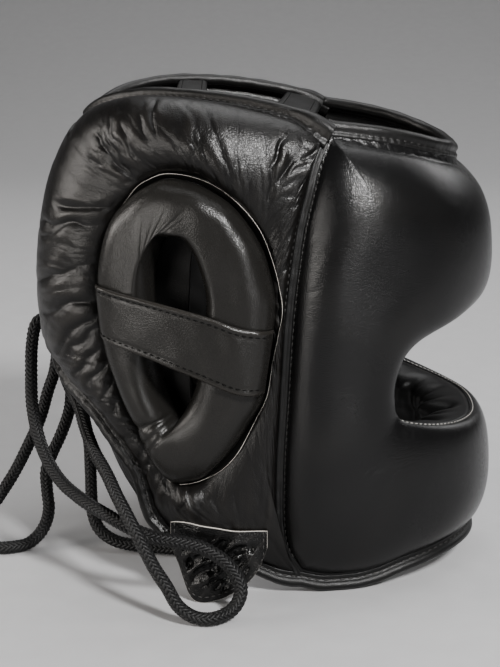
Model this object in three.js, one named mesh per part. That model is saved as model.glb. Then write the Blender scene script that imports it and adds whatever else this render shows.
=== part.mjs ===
// Face bar boxing headgear of padded black leather, standing on its jaw edge,
// with the rear lace tied in a bow whose loops hang down and lie on the surface.
// Millimetres, +Z up. The face looks along -Y and the wearer's right side is at -X.
import * as THREE from "three";
import { LoftGeometry } from "three/addons/geometries/LoftGeometry.js";
import { mergeVertices } from "three/addons/utils/BufferGeometryUtils.js";

// Sewn form: the surface that every seam lies on, a squared oval whose size changes with height.
const FORM_AXIS_Y = 12;
const FORM_SQUARENESS = 2.35;
const FORM = [
  { z: 0, half: 88, front: 127, back: 98 },
  { z: 50, half: 91, front: 130, back: 103 },
  { z: 100, half: 92, front: 128, back: 106 },
  { z: 150, half: 92, front: 125, back: 108 },
  { z: 200, half: 89, front: 121, back: 106 },
  { z: 232, half: 84, front: 114, back: 101 },
  { z: 252, half: 75, front: 105, back: 92 },
  { z: 268, half: 58, front: 90, back: 76 },
  { z: 280, half: 36, front: 60, back: 50 },
];

// Clearances and thicknesses.
const GAP = 0.4; // between pieces that touch
const WELT_HALF = 1.7; // half width of the piping in the front seam
const WELT_OUT = 3.2; // half of its depth
const SEAM_HALF_ANGLE = 1.3; // half of the seam's opening, in degrees round the form
const EDGE_OUT = 2.5; // half thickness of a pad at its sewn edge
const PUFF_POWER = 2.6; // how square a pad's puffed section is
const PUFF_ROOT = 2.2;
const LINING_BULGE = 8;
const SIDE_INNER_BULGE = 6;
const LEATHER = 2.4; // folded and stitched leather
const CORD_RADIUS = 3.75;
const CORD_SIDES = 8;
const REST_RIM = 10; // height of the pads' lower rim where the binding under it meets the surface

// Outlines on the form. Theta is in degrees from the front, z is the height.
const FRONT_SEAM = [
  { theta: 60, z: 248 },
  { theta: 65, z: 235 },
  { theta: 69, z: 217 },
  { theta: 72, z: 197 },
  { theta: 74.5, z: 170 },
  { theta: 76, z: 144 },
  { theta: 77, z: 111 },
  { theta: 78, z: 77 },
  { theta: 78, z: 45 },
  { theta: 76.5, z: 27 },
  { theta: 72, z: 13 },
];
const turned = (rows, angle) => rows.map((row) => ({ ...row, theta: row.theta + angle }));
const SEAM_OF_FRONT = turned(FRONT_SEAM, -SEAM_HALF_ANGLE);
const SEAM_OF_SIDE = turned(FRONT_SEAM, SEAM_HALF_ANGLE);
const TOP_RIM_FRONT = [
  { theta: 0, z: 229.5 },
  { theta: 20, z: 234.5 },
  { theta: 36, z: 241.5 },
  { theta: 48, z: 245.5 },
  SEAM_OF_FRONT[0],
];
const BOTTOM_RIM_FRONT = [
  { theta: 0, z: 20 },
  { theta: 20, z: 21 },
  { theta: 37, z: 17 },
  { theta: 47, z: 12 },
  { theta: 54, z: REST_RIM },
  { theta: 63, z: REST_RIM },
  SEAM_OF_FRONT.at(-1),
];
const TOP_RIM_SIDE = [
  SEAM_OF_SIDE[0],
  { theta: 68, z: 254 },
  { theta: 88, z: 260.5 },
  { theta: 112, z: 264 },
  { theta: 137, z: 264.5 },
  { theta: 156, z: 259 },
  { theta: 168, z: 250 },
];
const REAR_EDGE = [
  { theta: 168, z: 250 },
  { theta: 168, z: 187 },
  { theta: 168, z: 122 },
];
const LOWER_RIM_REAR = [
  { theta: 168, z: 122 },
  { theta: 160, z: 121 },
  { theta: 150, z: 117 },
  { theta: 138, z: 104 },
  { theta: 127, z: 84 },
  { theta: 121, z: 70 },
  { theta: 119.5, z: 56 },
  { theta: 117, z: 41 },
  { theta: 110, z: 30 },
  { theta: 98, z: 27.5 },
];
const LOWER_RIM_JAW = [
  { theta: 98, z: 27.5 },
  { theta: 89, z: 26.5 },
  { theta: 82, z: 23 },
  { theta: 78, z: 18 },
  SEAM_OF_SIDE.at(-1),
];

// Edge of the face opening, half of it, in the stretches that face the top rim, the seam and the bottom.
const BROW_EDGE = [
  { theta: 0, z: 152, bulge: 13.5 },
  { theta: 15, z: 150.5, bulge: 13.5 },
  { theta: 27, z: 147, bulge: 13.5 },
];
const CHEEK_EDGE = [
  { theta: 36, z: 140.5, bulge: 13.5 },
  { theta: 41.5, z: 132.5, bulge: 13 },
  { theta: 44.2, z: 121, bulge: 12.5 },
  { theta: 44.7, z: 109, bulge: 12.5 },
];
const BAR_EDGE = [
  { theta: 0, z: 85, bulge: 9 },
  { theta: 11, z: 85.5, bulge: 9 },
  { theta: 23, z: 87, bulge: 9.5 },
  { theta: 35, z: 91, bulge: 11 },
  { theta: 43, z: 97, bulge: 12 },
];

// Groove between a side pad and its ear ring, in the stretches that face each rim of the side pad.
const GROOVE_TOP = [
  { theta: 83.5, z: 195, bulge: 4.5 },
  { theta: 88, z: 208, bulge: 9 },
  { theta: 96, z: 220, bulge: 13.5 },
  { theta: 106, z: 228.5, bulge: 14.5 },
  { theta: 117, z: 229, bulge: 12.5 },
];
const GROOVE_REAR = [
  { theta: 126.5, z: 221, bulge: 8.5 },
  { theta: 133.5, z: 207, bulge: 12.5 },
  { theta: 136, z: 188, bulge: 15 },
  { theta: 136, z: 166, bulge: 15 },
];
const GROOVE_LOWER = [
  { theta: 134.3, z: 139, bulge: 12.5 },
  { theta: 130.5, z: 112, bulge: 11 },
  { theta: 124.5, z: 89, bulge: 7 },
  { theta: 116, z: 71, bulge: 5 },
];
const GROOVE_JAW = [
  { theta: 108, z: 64, bulge: 7 },
  { theta: 100, z: 72, bulge: 7.5 },
  { theta: 93, z: 87, bulge: 6 },
];
const GROOVE_SEAM = [
  { theta: 87.5, z: 102, bulge: 4.5 },
  { theta: 83.2, z: 121, bulge: 3.5 },
  { theta: 80.8, z: 141, bulge: 3 },
  { theta: 80.6, z: 160, bulge: 3 },
  { theta: 81.6, z: 180, bulge: 3.5 },
];
// Folds pressed into a side pad across its width: place along the groove, half width, share of the bulge.
const SIDE_FOLDS = [
  { at: 0.09, half: 0.012, depth: 0.2 },
  { at: 0.2, half: 0.012, depth: 0.16 },
  { at: 0.265, half: 0.01, depth: 0.2 },
  { at: 0.33, half: 0.012, depth: 0.16 },
  { at: 0.4, half: 0.01, depth: 0.2 },
  { at: 0.46, half: 0.012, depth: 0.18 },
  { at: 0.52, half: 0.012, depth: 0.24 },
  { at: 0.57, half: 0.01, depth: 0.22 },
];

// Ear ring: the groove's outline drawn in a little, round a narrow hole.
const EAR_CENTRE = { theta: 108.5, z: 147 };
const EAR_RING_FIT = 0.98; // ring outline as a share of the groove's
const EAR_RING_BASE = -4;
const EAR_RING_HEIGHT = 24;
const EAR_RING_EDGE = 4; // height of its side wall at both edges
const EAR_HOLE = [
  { theta: 103.5, z: 185 },
  { theta: 107, z: 196 },
  { theta: 112, z: 201 },
  { theta: 117, z: 195 },
  { theta: 120.8, z: 183 },
  { theta: 122.8, z: 164 },
  { theta: 123, z: 146 },
  { theta: 122, z: 129 },
  { theta: 118.8, z: 110 },
  { theta: 113.8, z: 97 },
  { theta: 109, z: 95 },
  { theta: 105, z: 107 },
  { theta: 103, z: 122 },
  { theta: 102, z: 138 },
  { theta: 101.7, z: 155 },
  { theta: 102.2, z: 171 },
];

// Band across the ear ring: its middle line, half width, and how far its ends slant.
const EAR_STRAP = [
  { theta: 134.4, z: 158.5, out: 14, half: 13.5, slant: -0.6 },
  { theta: 132.3, z: 157.8, out: 19.6, half: 13.8, slant: -0.8 },
  { theta: 128.5, z: 156.5, out: 22, half: 14.2, slant: -0.6 },
  { theta: 116, z: 151.5, out: 22.6, half: 15, slant: 0 },
  { theta: 102, z: 143.5, out: 22.6, half: 16.8, slant: 0.2 },
  { theta: 92, z: 137, out: 22.6, half: 17.2, slant: 0.6 },
  { theta: 85.3, z: 135, out: 19.8, half: 17, slant: 1.2 },
  { theta: 81.8, z: 134.4, out: 11.6, half: 16.6, slant: 1.4 },
];

// Crumpled tab at the lower end of a side pad: its upper and lower edges.
const JAW_TAB = [
  { theta: 113, top: 40, topOut: 11.1, bottom: 29, bottomOut: 12.5 },
  { theta: 110.5, top: 41.5, topOut: 11.2, bottom: 15, bottomOut: 14 },
  { theta: 107, top: 40, topOut: 11, bottom: 2, bottomOut: 17.5 },
  { theta: 103.5, top: 39, topOut: 11.8, bottom: 0, bottomOut: 18.5 },
  { theta: 98.5, top: 39.5, topOut: 11, bottom: 0, bottomOut: 18 },
  { theta: 93, top: 38, topOut: 11.6, bottom: 5, bottomOut: 17 },
  { theta: 88, top: 37.5, topOut: 10.6, bottom: 12, bottomOut: 15.5 },
  { theta: 84.5, top: 38.5, topOut: 10.1, bottom: 19, bottomOut: 13.5 },
  { theta: 82.5, top: 37, topOut: 9.8, bottom: 32, bottomOut: 12 },
];

// Rolled bindings and piping.
const TOP_ROLL = 4.4;
const ROLL_END = 0.012; // share of the rim that a top binding stops short of the temple
const BOTTOM_ROLL = { halfOut: 5, height: 9.4, to: 0.02 };
const PIPING = 2.4;
const WELT_START = 0.015; // share of the seam where the welt starts, below the temple
const WELT_END = 0.925; // share where it ends, above the jaw

// Bands across the crown: place on each side, and width.
const CROWN_STRAPS = [
  { name: "crown_strap_front", yRight: -12, yLeft: -18, width: 22, sag: 1 },
  { name: "crown_strap_rear", yRight: 42, yLeft: 48, width: 17, sag: 0 },
];

// Rear closing: the padded tongue behind the gap, the lace bars over it and the knot of the bow.
const TONGUE = { from: 153, to: 207, low: 121, high: 244, outer: -9.9, thick: 9 };
const LACE_BARS = [138.2, 168, 197, 226];
const KNOT = { x: 4, y: 127, z: 131, halfX: 16, halfY: 7, halfZ: 8 };

// Routes of the loose cord, from the knot and back to it, and of its one free end.
const LACE_LOOP_NEAR = [
  [-12.6, 129, 133], [-16, 132.5, 136.5], [-18, 136, 132], [-19, 138, 120], [-23, 138, 106],
  [-32, 136.5, 90], [-43, 132, 76], [-56, 125, 65], [-72, 114, 56], [-88, 99, 50.5],
  [-98, 86, 46.7], [-107, 73, 43], [-112, 59, 39.5], [-113, 45, 37.5], [-114, 32, 34],
  [-116, 21.5, 28], [-119, 14.5, 20.2], [-122, 12.5, 12.5], [-128, 17, 5.6], [-136, 26.5, 4],
  [-136, 36.5, 4.8], [-134, 45, 10], [-132, 51, 19.7], [-128, 58.5, 30], [-122, 66.5, 43.5],
  [-114, 73, 52], [-103, 80, 60], [-88, 87, 67], [-72, 95, 73], [-54, 102.5, 81],
  [-38, 108.5, 90.5], [-22, 116, 97], [-12, 122, 108], [-7.5, 126, 123],
];
const LACE_LOOP_LEFT = [
  [9.2, 127, 122.5], [10, 128, 110], [10, 130, 98], [8, 134, 86], [6, 138, 72], [2, 143.5, 59],
  [-2, 153, 40], [-6, 162.5, 25], [-14, 171, 13], [-26, 173, 6], [-36, 167, 4], [-38, 158, 4],
  [-37, 149.5, 4.2], [-31, 141, 4.6], [-22, 134.5, 9.5], [-13, 132, 18], [-8, 133.5, 29.5],
  [-6, 134, 41], [-3, 130.5, 51], [1, 125, 63], [8, 121, 76], [15, 121, 89], [18, 123, 102],
  [18.8, 125.5, 113], [18.2, 127, 124],
];
const LACE_END = [
  [0.9, 126, 122.2], [1, 122, 112], [1.5, 117.5, 100], [1, 114, 87], [0, 111, 71], [-4, 108, 57],
  [-8, 107, 42], [-14, 106, 29], [-20, 104.5, 19], [-26, 99.5, 11], [-30, 90, 6], [-32, 79, 4.4],
  [-34, 66.5, 4], [-36, 53, 4],
];
const NEAR_STEPS = 30;
const LEFT_STEPS = 22;
const END_STEPS = 12;

// How finely the pieces are faceted: across a pad or sheet, round a roll, and along an edge.
const PUFFED_STEPS = 6;
const LINING_STEPS = 4;
const FLAT_STEPS = 3;
const SHEET_STEPS = 6;
const TAB_STEPS = 4;
const ROLL_SIDES = 8;
const PIPING_SIDES = 6;
const ALONG = {
  frontTop: 17,
  frontSeam: 15,
  frontBottom: 17,
  sideTop: 18,
  sideRear: 12,
  sideLower: 14,
  sideJaw: 6,
  sideSeam: 13,
  earRing: 32,
  frontRoll: 22,
  sideRoll: 20,
  rearPiping: 7,
  lowerPiping: 24,
  welt: 14,
  chinRoll: 13,
  jawRoll: 5,
};

const LEATHER_SMOOTH = { color: 0x17171a, roughness: 0.42, metalness: 0 };
const LEATHER_SOFT = { color: 0x1a1918, roughness: 0.48, metalness: 0 };
const LEATHER_LINING = { color: 0x141414, roughness: 0.6, metalness: 0 };
const LEATHER_EDGE = { color: 0x151516, roughness: 0.4, metalness: 0 };
const BRAID = { color: 0x131415, roughness: 0.85, metalness: 0 };

const headgear = new THREE.Group();

// Closes a geometry's surface, turns it to face out and adds it as a named piece.
function addPiece(name, geometry, look) {
  const open = new THREE.BufferGeometry();
  open.setAttribute("position", geometry.getAttribute("position"));
  open.setIndex(geometry.getIndex());
  const merged = mergeVertices(open, 1e-3);
  const index = Array.from(merged.getIndex().array);
  const position = merged.getAttribute("position");
  const corner = (i) => new THREE.Vector3().fromBufferAttribute(position, index[i]);
  const kept = [];
  let volume = 0;
  for (let i = 0; i < index.length; i += 3) {
    const [a, b, c] = index.slice(i, i + 3);
    if (a === b || b === c || c === a) continue;
    kept.push([a, b, c]);
    volume += corner(i).dot(corner(i + 1).cross(corner(i + 2)));
  }
  merged.setIndex(kept.flatMap(([a, b, c]) => (volume < 0 ? [a, c, b] : [a, b, c])));
  const mesh = new THREE.Mesh(merged, new THREE.MeshStandardMaterial(look));
  mesh.name = name;
  headgear.add(mesh);
}

// A column of the form's table at any height, by a smooth cubic between rows.
function formSize(column, z) {
  const last = FORM.length - 1;
  const slope = (i) => {
    const a = FORM[Math.max(i - 1, 0)];
    const b = FORM[Math.min(i + 1, last)];
    return (b[column] - a[column]) / (b.z - a.z);
  };
  const i = Math.min(Math.max(FORM.findIndex((row) => row.z > z) - 1, 0), last - 1);
  const [low, high] = [FORM[i], FORM[i + 1]];
  const span = high.z - low.z;
  const t = (z - low.z) / span;
  const rise = 3 * t ** 2 - 2 * t ** 3;
  return (
    low[column] * (1 - rise) +
    high[column] * rise +
    span * (slope(i) * (t ** 3 - 2 * t ** 2 + t) + slope(i + 1) * (t ** 3 - t ** 2))
  );
}

function formPoint(theta, z) {
  const angle = THREE.MathUtils.degToRad(theta);
  const reach = formSize(Math.cos(angle) > 0 ? "front" : "back", z);
  const across = Math.abs(Math.sin(angle)) / formSize("half", z);
  const along = Math.abs(Math.cos(angle)) / reach;
  const r = (across ** FORM_SQUARENESS + along ** FORM_SQUARENESS) ** (-1 / FORM_SQUARENESS);
  return new THREE.Vector3(-r * Math.sin(angle), FORM_AXIS_Y - r * Math.cos(angle), z);
}

function formNormal(theta, z) {
  const step = 0.5;
  const around = formPoint(theta + step, z).sub(formPoint(theta - step, z));
  const up = formPoint(theta, z + step).sub(formPoint(theta, z - step));
  return up.cross(around).normalize();
}

const UP = new THREE.Vector3(0, 0, 1);

function levelNormal(theta, z) {
  return formNormal(theta, z).setZ(0).normalize();
}

// A point at a distance `out` from the form, square to it or level.
function place(theta, z, out) {
  return formPoint(theta, z).addScaledVector(formNormal(theta, z), out);
}

function placeLevel(theta, z, out) {
  return formPoint(theta, z).addScaledVector(levelNormal(theta, z), out);
}

const mirrorRows = (rows) => rows.map((row) => ({ ...row, theta: -row.theta }));
const reversed = (rows) => [...rows].reverse();
const wholeFromHalf = (rows) => [...reversed(mirrorRows(rows)), ...rows.slice(1)];
const outline = (rows) => new THREE.SplineCurve(rows.map((row) => new THREE.Vector2(row.theta, row.z)));
const puff = (t) => (1 - Math.abs(2 * t - 1) ** PUFF_POWER) ** (1 / PUFF_ROOT);
const round = (t) => Math.sqrt(1 - (2 * t - 1) ** 2);
const eased = (k, count) => 0.5 - 0.5 * Math.cos((Math.PI * k) / count);
const lerp = THREE.MathUtils.lerp;

// Pairs the inner edge of a ring-shaped pad with its outer rim, stretch by stretch.
function pairedOutlines(stretches) {
  const rows = stretches.flatMap((stretch) => stretch.edge);
  const points = rows.map((row) => new THREE.Vector3(row.theta, row.z, row.bulge));
  const edge = new THREE.CatmullRomCurve3(points, true, "catmullrom");
  const pairs = [];
  let first = 0;
  for (const { edge: own, rim, count } of stretches) {
    const curve = outline(rim);
    for (let i = 0; i < count; i++) {
      const at = (first + (own.length * i) / count) / rows.length;
      const inner = edge.getPoint(at);
      const outer = curve.getPointAt(i / count);
      pairs.push({
        at,
        bulge: inner.z,
        edge: { theta: inner.x, z: inner.y },
        rim: { theta: outer.x, z: outer.y },
      });
    }
    first += own.length;
  }
  return pairs;
}

// A padded ring lofted through one section for each pair. Each face has a height over the form and a
// number of steps across the ring. The flat faces of two pads that meet are both given last, so that
// their facets match.
function paddedRing(pairs, puffed, flat) {
  const section = (pair) => {
    const across = ({ out, steps }) =>
      Array.from({ length: steps + 1 }, (_, k) => {
        const t = eased(k, steps);
        const theta = lerp(pair.edge.theta, pair.rim.theta, t);
        return place(theta, lerp(pair.edge.z, pair.rim.z, t), out(t, pair));
      });
    return [...across(puffed), ...reversed(across(flat))];
  };
  return new LoftGeometry([...pairs, pairs[0]].map(section));
}

// Rows along an outline's curve, evenly spaced, between two shares of its length.
function rowsAlong(rim, count, from = 0, to = 1) {
  const curve = outline(rim);
  return Array.from({ length: count + 1 }, (_, i) => {
    const point = curve.getPointAt(lerp(from, to, i / count));
    return { theta: point.x, z: point.y };
  });
}

// The frame at each row of an edge: its point, the form's normal and the way past the edge.
function framesAlong(rows, away) {
  const points = rows.map((row) => formPoint(row.theta, row.z));
  return rows.map((row, i) => {
    const ahead = points[Math.min(i + 1, rows.length - 1)];
    const tangent = ahead.clone().sub(points[Math.max(i - 1, 0)]);
    const normal = formNormal(row.theta, row.z);
    const past = tangent.cross(normal).normalize().multiplyScalar(away);
    return { point: points[i], normal, past };
  });
}

function ovalSection(centre, side, up, halfSide, halfUp, sides) {
  return Array.from({ length: sides }, (_, k) => {
    const angle = (2 * Math.PI * (k + 0.5)) / sides;
    const point = centre.clone().addScaledVector(side, halfSide * Math.cos(angle));
    return point.addScaledVector(up, halfUp * Math.sin(angle));
  });
}

// A capped loft, with its sections turned so that the walls face out like the caps.
function capped(sections) {
  const [first, second] = sections;
  const sum = (points) => points.reduce((total, point) => total.add(point), new THREE.Vector3());
  const ahead = sum(second).sub(sum(first));
  const spin = new THREE.Vector3();
  first.forEach((point, i) => spin.add(point.clone().cross(first[(i + 1) % first.length])));
  const walls = spin.dot(ahead) < 0 ? sections.map(reversed) : sections;
  return new LoftGeometry(walls, { capStart: true, capEnd: true });
}

// The middle line of a round roll that lies just past an edge.
function rollCentres(rows, radius, away) {
  const frames = framesAlong(rows, away);
  return frames.map(({ point, past }) => point.clone().addScaledVector(past, radius + GAP));
}

function edgeRoll(rows, radius, sides, away) {
  const centres = rollCentres(rows, radius, away);
  const frames = framesAlong(rows, away);
  const section = ({ normal, past }, i) => ovalSection(centres[i], past, normal, radius, radius, sides);
  return capped(frames.map(section));
}

// A sheet lofted through stations; each is a row of spots with a face and a back.
function sheet(stations) {
  const section = (row) => [...row.map((spot) => spot.face), ...reversed(row).map((spot) => spot.back)];
  return capped(stations.map(section));
}

const spotOnForm = (theta, z, out, half) => ({
  face: place(theta, z, out + half),
  back: place(theta, z, out - half),
});

const spotAtLevel = (theta, z, out, half) => ({
  face: placeLevel(theta, z, out + half),
  back: placeLevel(theta, z, out - half),
});

const SIDES = [
  { suffix: "right", sign: 1, mirror: (rows) => rows },
  { suffix: "left", sign: -1, mirror: mirrorRows },
];

// Front: one ring of padding round the face opening, with its padded lining behind it.
function addFront() {
  const browHalf = [...BROW_EDGE, CHEEK_EDGE[0]];
  const brow = wholeFromHalf(browHalf).slice(0, -1);
  const bar = reversed(wholeFromHalf(BAR_EDGE)).slice(0, -1);
  const cheekUp = mirrorRows([BAR_EDGE.at(-1), ...reversed(CHEEK_EDGE.slice(1))]);
  const pairs = pairedOutlines([
    { edge: brow, rim: wholeFromHalf(TOP_RIM_FRONT), count: ALONG.frontTop },
    { edge: CHEEK_EDGE, rim: SEAM_OF_FRONT, count: ALONG.frontSeam },
    { edge: bar, rim: reversed(wholeFromHalf(BOTTOM_RIM_FRONT)), count: ALONG.frontBottom },
    { edge: cheekUp, rim: mirrorRows(reversed(SEAM_OF_FRONT)), count: ALONG.frontSeam },
  ]);
  const padOuter = { steps: PUFFED_STEPS, out: (t, { bulge }) => EDGE_OUT + bulge * puff(t) };
  const padInner = { steps: FLAT_STEPS, out: () => GAP / 2 };
  const liningOuter = { steps: FLAT_STEPS, out: () => -GAP / 2 };
  const liningInner = { steps: LINING_STEPS, out: (t) => -EDGE_OUT - LINING_BULGE * puff(t) };
  addPiece("front_pad", paddedRing(pairs, padOuter, padInner), LEATHER_SMOOTH);
  addPiece("front_lining", paddedRing(pairs, liningInner, liningOuter), LEATHER_LINING);
  const rim = rowsAlong(wholeFromHalf(TOP_RIM_FRONT), ALONG.frontRoll, ROLL_END, 1 - ROLL_END);
  addPiece("front_top_binding", edgeRoll(rim, TOP_ROLL, ROLL_SIDES, 1), LEATHER_EDGE);
}

// Side pads, with the folds that the padding presses into them.
function addSidePad({ suffix, mirror }) {
  const stretches = [
    { edge: GROOVE_TOP, rim: TOP_RIM_SIDE, count: ALONG.sideTop },
    { edge: GROOVE_REAR, rim: REAR_EDGE, count: ALONG.sideRear },
    { edge: GROOVE_LOWER, rim: LOWER_RIM_REAR, count: ALONG.sideLower },
    { edge: GROOVE_JAW, rim: LOWER_RIM_JAW, count: ALONG.sideJaw },
    { edge: GROOVE_SEAM, rim: reversed(SEAM_OF_SIDE), count: ALONG.sideSeam },
  ];
  const pairs = pairedOutlines(
    stretches.map(({ edge, rim, count }) => ({ edge: mirror(edge), rim: mirror(rim), count })),
  );
  const fold = (at) =>
    SIDE_FOLDS.reduce((sum, row) => sum + row.depth * Math.exp(-(((at - row.at) / row.half) ** 2)), 0);
  const folded = (t, { bulge, at }) => EDGE_OUT + bulge * puff(t) * (1 - fold(at));
  const outer = { steps: PUFFED_STEPS, out: folded };
  const inner = { steps: FLAT_STEPS, out: (t) => -EDGE_OUT - SIDE_INNER_BULGE * puff(t) };
  addPiece("side_pad_" + suffix, paddedRing(pairs, outer, inner), LEATHER_SOFT);
}

// Ear rings and the bands across them.
function addEar({ suffix, mirror }) {
  const closed = (rows) => {
    const points = mirror(rows).map((row) => new THREE.Vector3(row.theta, row.z, 0));
    return new THREE.CatmullRomCurve3(points, true, "catmullrom");
  };
  const groove = closed([GROOVE_TOP, GROOVE_REAR, GROOVE_LOWER, GROOVE_JAW, GROOVE_SEAM].flat());
  const hole = closed(EAR_HOLE);
  const [centre] = mirror([EAR_CENTRE]);
  const count = ALONG.earRing;
  const pairs = Array.from({ length: count }, (_, i) => {
    const inner = hole.getPointAt(i / count);
    const outer = groove.getPointAt(i / count);
    return {
      edge: { theta: inner.x, z: inner.y },
      rim: {
        theta: lerp(centre.theta, outer.x, EAR_RING_FIT),
        z: lerp(centre.z, outer.y, EAR_RING_FIT),
      },
    };
  });
  const rise = EAR_RING_HEIGHT - EAR_RING_EDGE;
  const outer = { steps: PUFFED_STEPS, out: (t) => EAR_RING_BASE + EAR_RING_EDGE + rise * round(t) };
  const inner = { steps: 1, out: () => EAR_RING_BASE };
  addPiece("ear_ring_" + suffix, paddedRing(pairs, outer, inner), LEATHER_SMOOTH);

  const across = [1, 1 / 3, -1 / 3, -1];
  const stations = EAR_STRAP.map(({ theta, z, out, half, slant }) =>
    mirror(across.map((w) => ({ theta: theta - slant * w, z: z + half * w }))).map((spot) =>
      spotOnForm(spot.theta, spot.z, out, LEATHER / 2),
    ),
  );
  addPiece("ear_strap_" + suffix, sheet(stations), LEATHER_EDGE);
}

// Bindings, piping and welt of one side.
function addSideEdges({ suffix, mirror, sign }) {
  const top = rowsAlong(mirror(TOP_RIM_SIDE), ALONG.sideRoll, ROLL_END);
  addPiece("side_top_binding_" + suffix, edgeRoll(top, TOP_ROLL, ROLL_SIDES, sign), LEATHER_EDGE);
  const rear = rowsAlong(mirror(REAR_EDGE), ALONG.rearPiping);
  addPiece("rear_piping_" + suffix, edgeRoll(rear, PIPING, PIPING_SIDES, sign), LEATHER_EDGE);
  const lower = rowsAlong(mirror(LOWER_RIM_REAR), ALONG.lowerPiping);
  addPiece("lower_piping_" + suffix, edgeRoll(lower, PIPING, PIPING_SIDES, sign), LEATHER_EDGE);
  const seam = rowsAlong(mirror(FRONT_SEAM), ALONG.welt, WELT_START, WELT_END);
  const welt = framesAlong(seam, sign).map(({ point, past, normal }) =>
    ovalSection(point, past, normal, WELT_HALF, WELT_OUT, PIPING_SIDES),
  );
  addPiece("seam_welt_" + suffix, capped(welt), LEATHER_EDGE);
}

// Binding under the chin and both jaws, with a flat underside where it meets the surface.
function addBottomBinding() {
  const chin = rowsAlong(BOTTOM_RIM_FRONT, ALONG.chinRoll);
  const jaw = reversed(rowsAlong(LOWER_RIM_JAW, ALONG.jawRoll, BOTTOM_ROLL.to));
  const flat = Math.cos(Math.PI / ROLL_SIDES);
  const halfUp = BOTTOM_ROLL.height / 2 / flat;
  const sections = wholeFromHalf([...chin, ...jaw]).map(({ theta, z }) => {
    const centre = formPoint(theta, Math.max(z, REST_RIM) - REST_RIM + BOTTOM_ROLL.height / 2);
    return ovalSection(centre, levelNormal(theta, z), UP, BOTTOM_ROLL.halfOut, halfUp, ROLL_SIDES);
  });
  addPiece("bottom_binding", capped(sections), LEATHER_EDGE);
}

function addJawTab({ suffix, mirror }) {
  const stations = mirror(JAW_TAB).map((row) =>
    Array.from({ length: TAB_STEPS + 1 }, (_, i) => {
      const z = lerp(row.top, row.bottom, i / TAB_STEPS);
      const out = lerp(row.topOut, row.bottomOut, i / TAB_STEPS);
      return spotAtLevel(row.theta, z, out, LEATHER / 2);
    }),
  );
  addPiece("jaw_tab_" + suffix, sheet(stations), LEATHER_SOFT);
}

// Where a side's top binding passes a given y, as the inner face of the roll.
function crownSeat({ mirror, sign }, y) {
  const centres = rollCentres(rowsAlong(mirror(TOP_RIM_SIDE), ALONG.sideRoll), TOP_ROLL, sign);
  const i = Math.max(1, centres.findIndex((point) => point.y > y));
  const share = (y - centres[i - 1].y) / (centres[i].y - centres[i - 1].y);
  const point = centres[i - 1].clone().lerp(centres[i], share);
  point.x += sign * (TOP_ROLL + 2 * GAP);
  return point;
}

function addCrownStrap({ name, yRight, yLeft, width, sag }) {
  const edges = [-width / 2, width / 2].map((shift) => ({
    right: crownSeat(SIDES[0], yRight + shift),
    left: crownSeat(SIDES[1], yLeft + shift),
  }));
  const half = LEATHER / 2;
  const stations = Array.from({ length: SHEET_STEPS + 1 }, (_, i) => {
    const share = i / SHEET_STEPS;
    return edges.map(({ right, left }) => {
      const point = right.clone().lerp(left, share);
      point.z -= sag * round(share);
      return {
        face: point.clone().addScaledVector(UP, half),
        back: point.clone().addScaledVector(UP, -half),
      };
    });
  });
  addPiece(name, sheet(stations), LEATHER_EDGE);
}

// Padded tongue inside the rear gap.
function addTongue() {
  const stations = Array.from({ length: SHEET_STEPS + 1 }, (_, i) => {
    const up = i / SHEET_STEPS;
    const z = lerp(TONGUE.low, TONGUE.high, up);
    return Array.from({ length: SHEET_STEPS + 1 }, (_, k) => {
      const across = k / SHEET_STEPS;
      const theta = lerp(TONGUE.from, TONGUE.to, across);
      const thick = lerp(LEATHER, TONGUE.thick, puff(across) * puff(up));
      return spotOnForm(theta, z, TONGUE.outer - thick / 2, thick / 2);
    });
  });
  addPiece("rear_tongue", sheet(stations), LEATHER_LINING);
}

const cordShape = new THREE.Shape(
  Array.from({ length: CORD_SIDES }, (_, k) => {
    const angle = (2 * Math.PI * k) / CORD_SIDES;
    return new THREE.Vector2(CORD_RADIUS * Math.cos(angle), CORD_RADIUS * Math.sin(angle));
  }),
);

function cord(curve, steps) {
  return new THREE.ExtrudeGeometry(cordShape, { steps, extrudePath: curve, bevelEnabled: false });
}

// Lace: bars over the rear gap, the knot, and the loose loops and end.
function addLace() {
  LACE_BARS.forEach((z, i) => {
    const seat = formPoint(REAR_EDGE[0].theta, z);
    const reach = Math.abs(seat.x) - 2 * PIPING - 2 * GAP;
    const from = new THREE.Vector3(-reach, seat.y, z);
    const to = new THREE.Vector3(reach, seat.y, z);
    addPiece("rear_lace_bar_" + (i + 1), cord(new THREE.LineCurve3(from, to), 1), BRAID);
  });
  const knot = new THREE.SphereGeometry(1, 12, 8);
  knot.scale(KNOT.halfX, KNOT.halfY, KNOT.halfZ);
  knot.translate(KNOT.x, KNOT.y, KNOT.z);
  addPiece("lace_knot", knot, BRAID);
  const route = (points) => new THREE.CatmullRomCurve3(points.map((point) => new THREE.Vector3(...point)));
  addPiece("lace_loop_near", cord(route(LACE_LOOP_NEAR), NEAR_STEPS), BRAID);
  addPiece("lace_loop_left", cord(route(LACE_LOOP_LEFT), LEFT_STEPS), BRAID);
  addPiece("lace_end", cord(route(LACE_END), END_STEPS), BRAID);
}

addFront();
for (const side of SIDES) {
  addSidePad(side);
  addEar(side);
  addSideEdges(side);
  addJawTab(side);
}
addBottomBinding();
CROWN_STRAPS.forEach(addCrownStrap);
addTongue();
addLace();

export default headgear;
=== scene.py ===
import math

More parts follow.
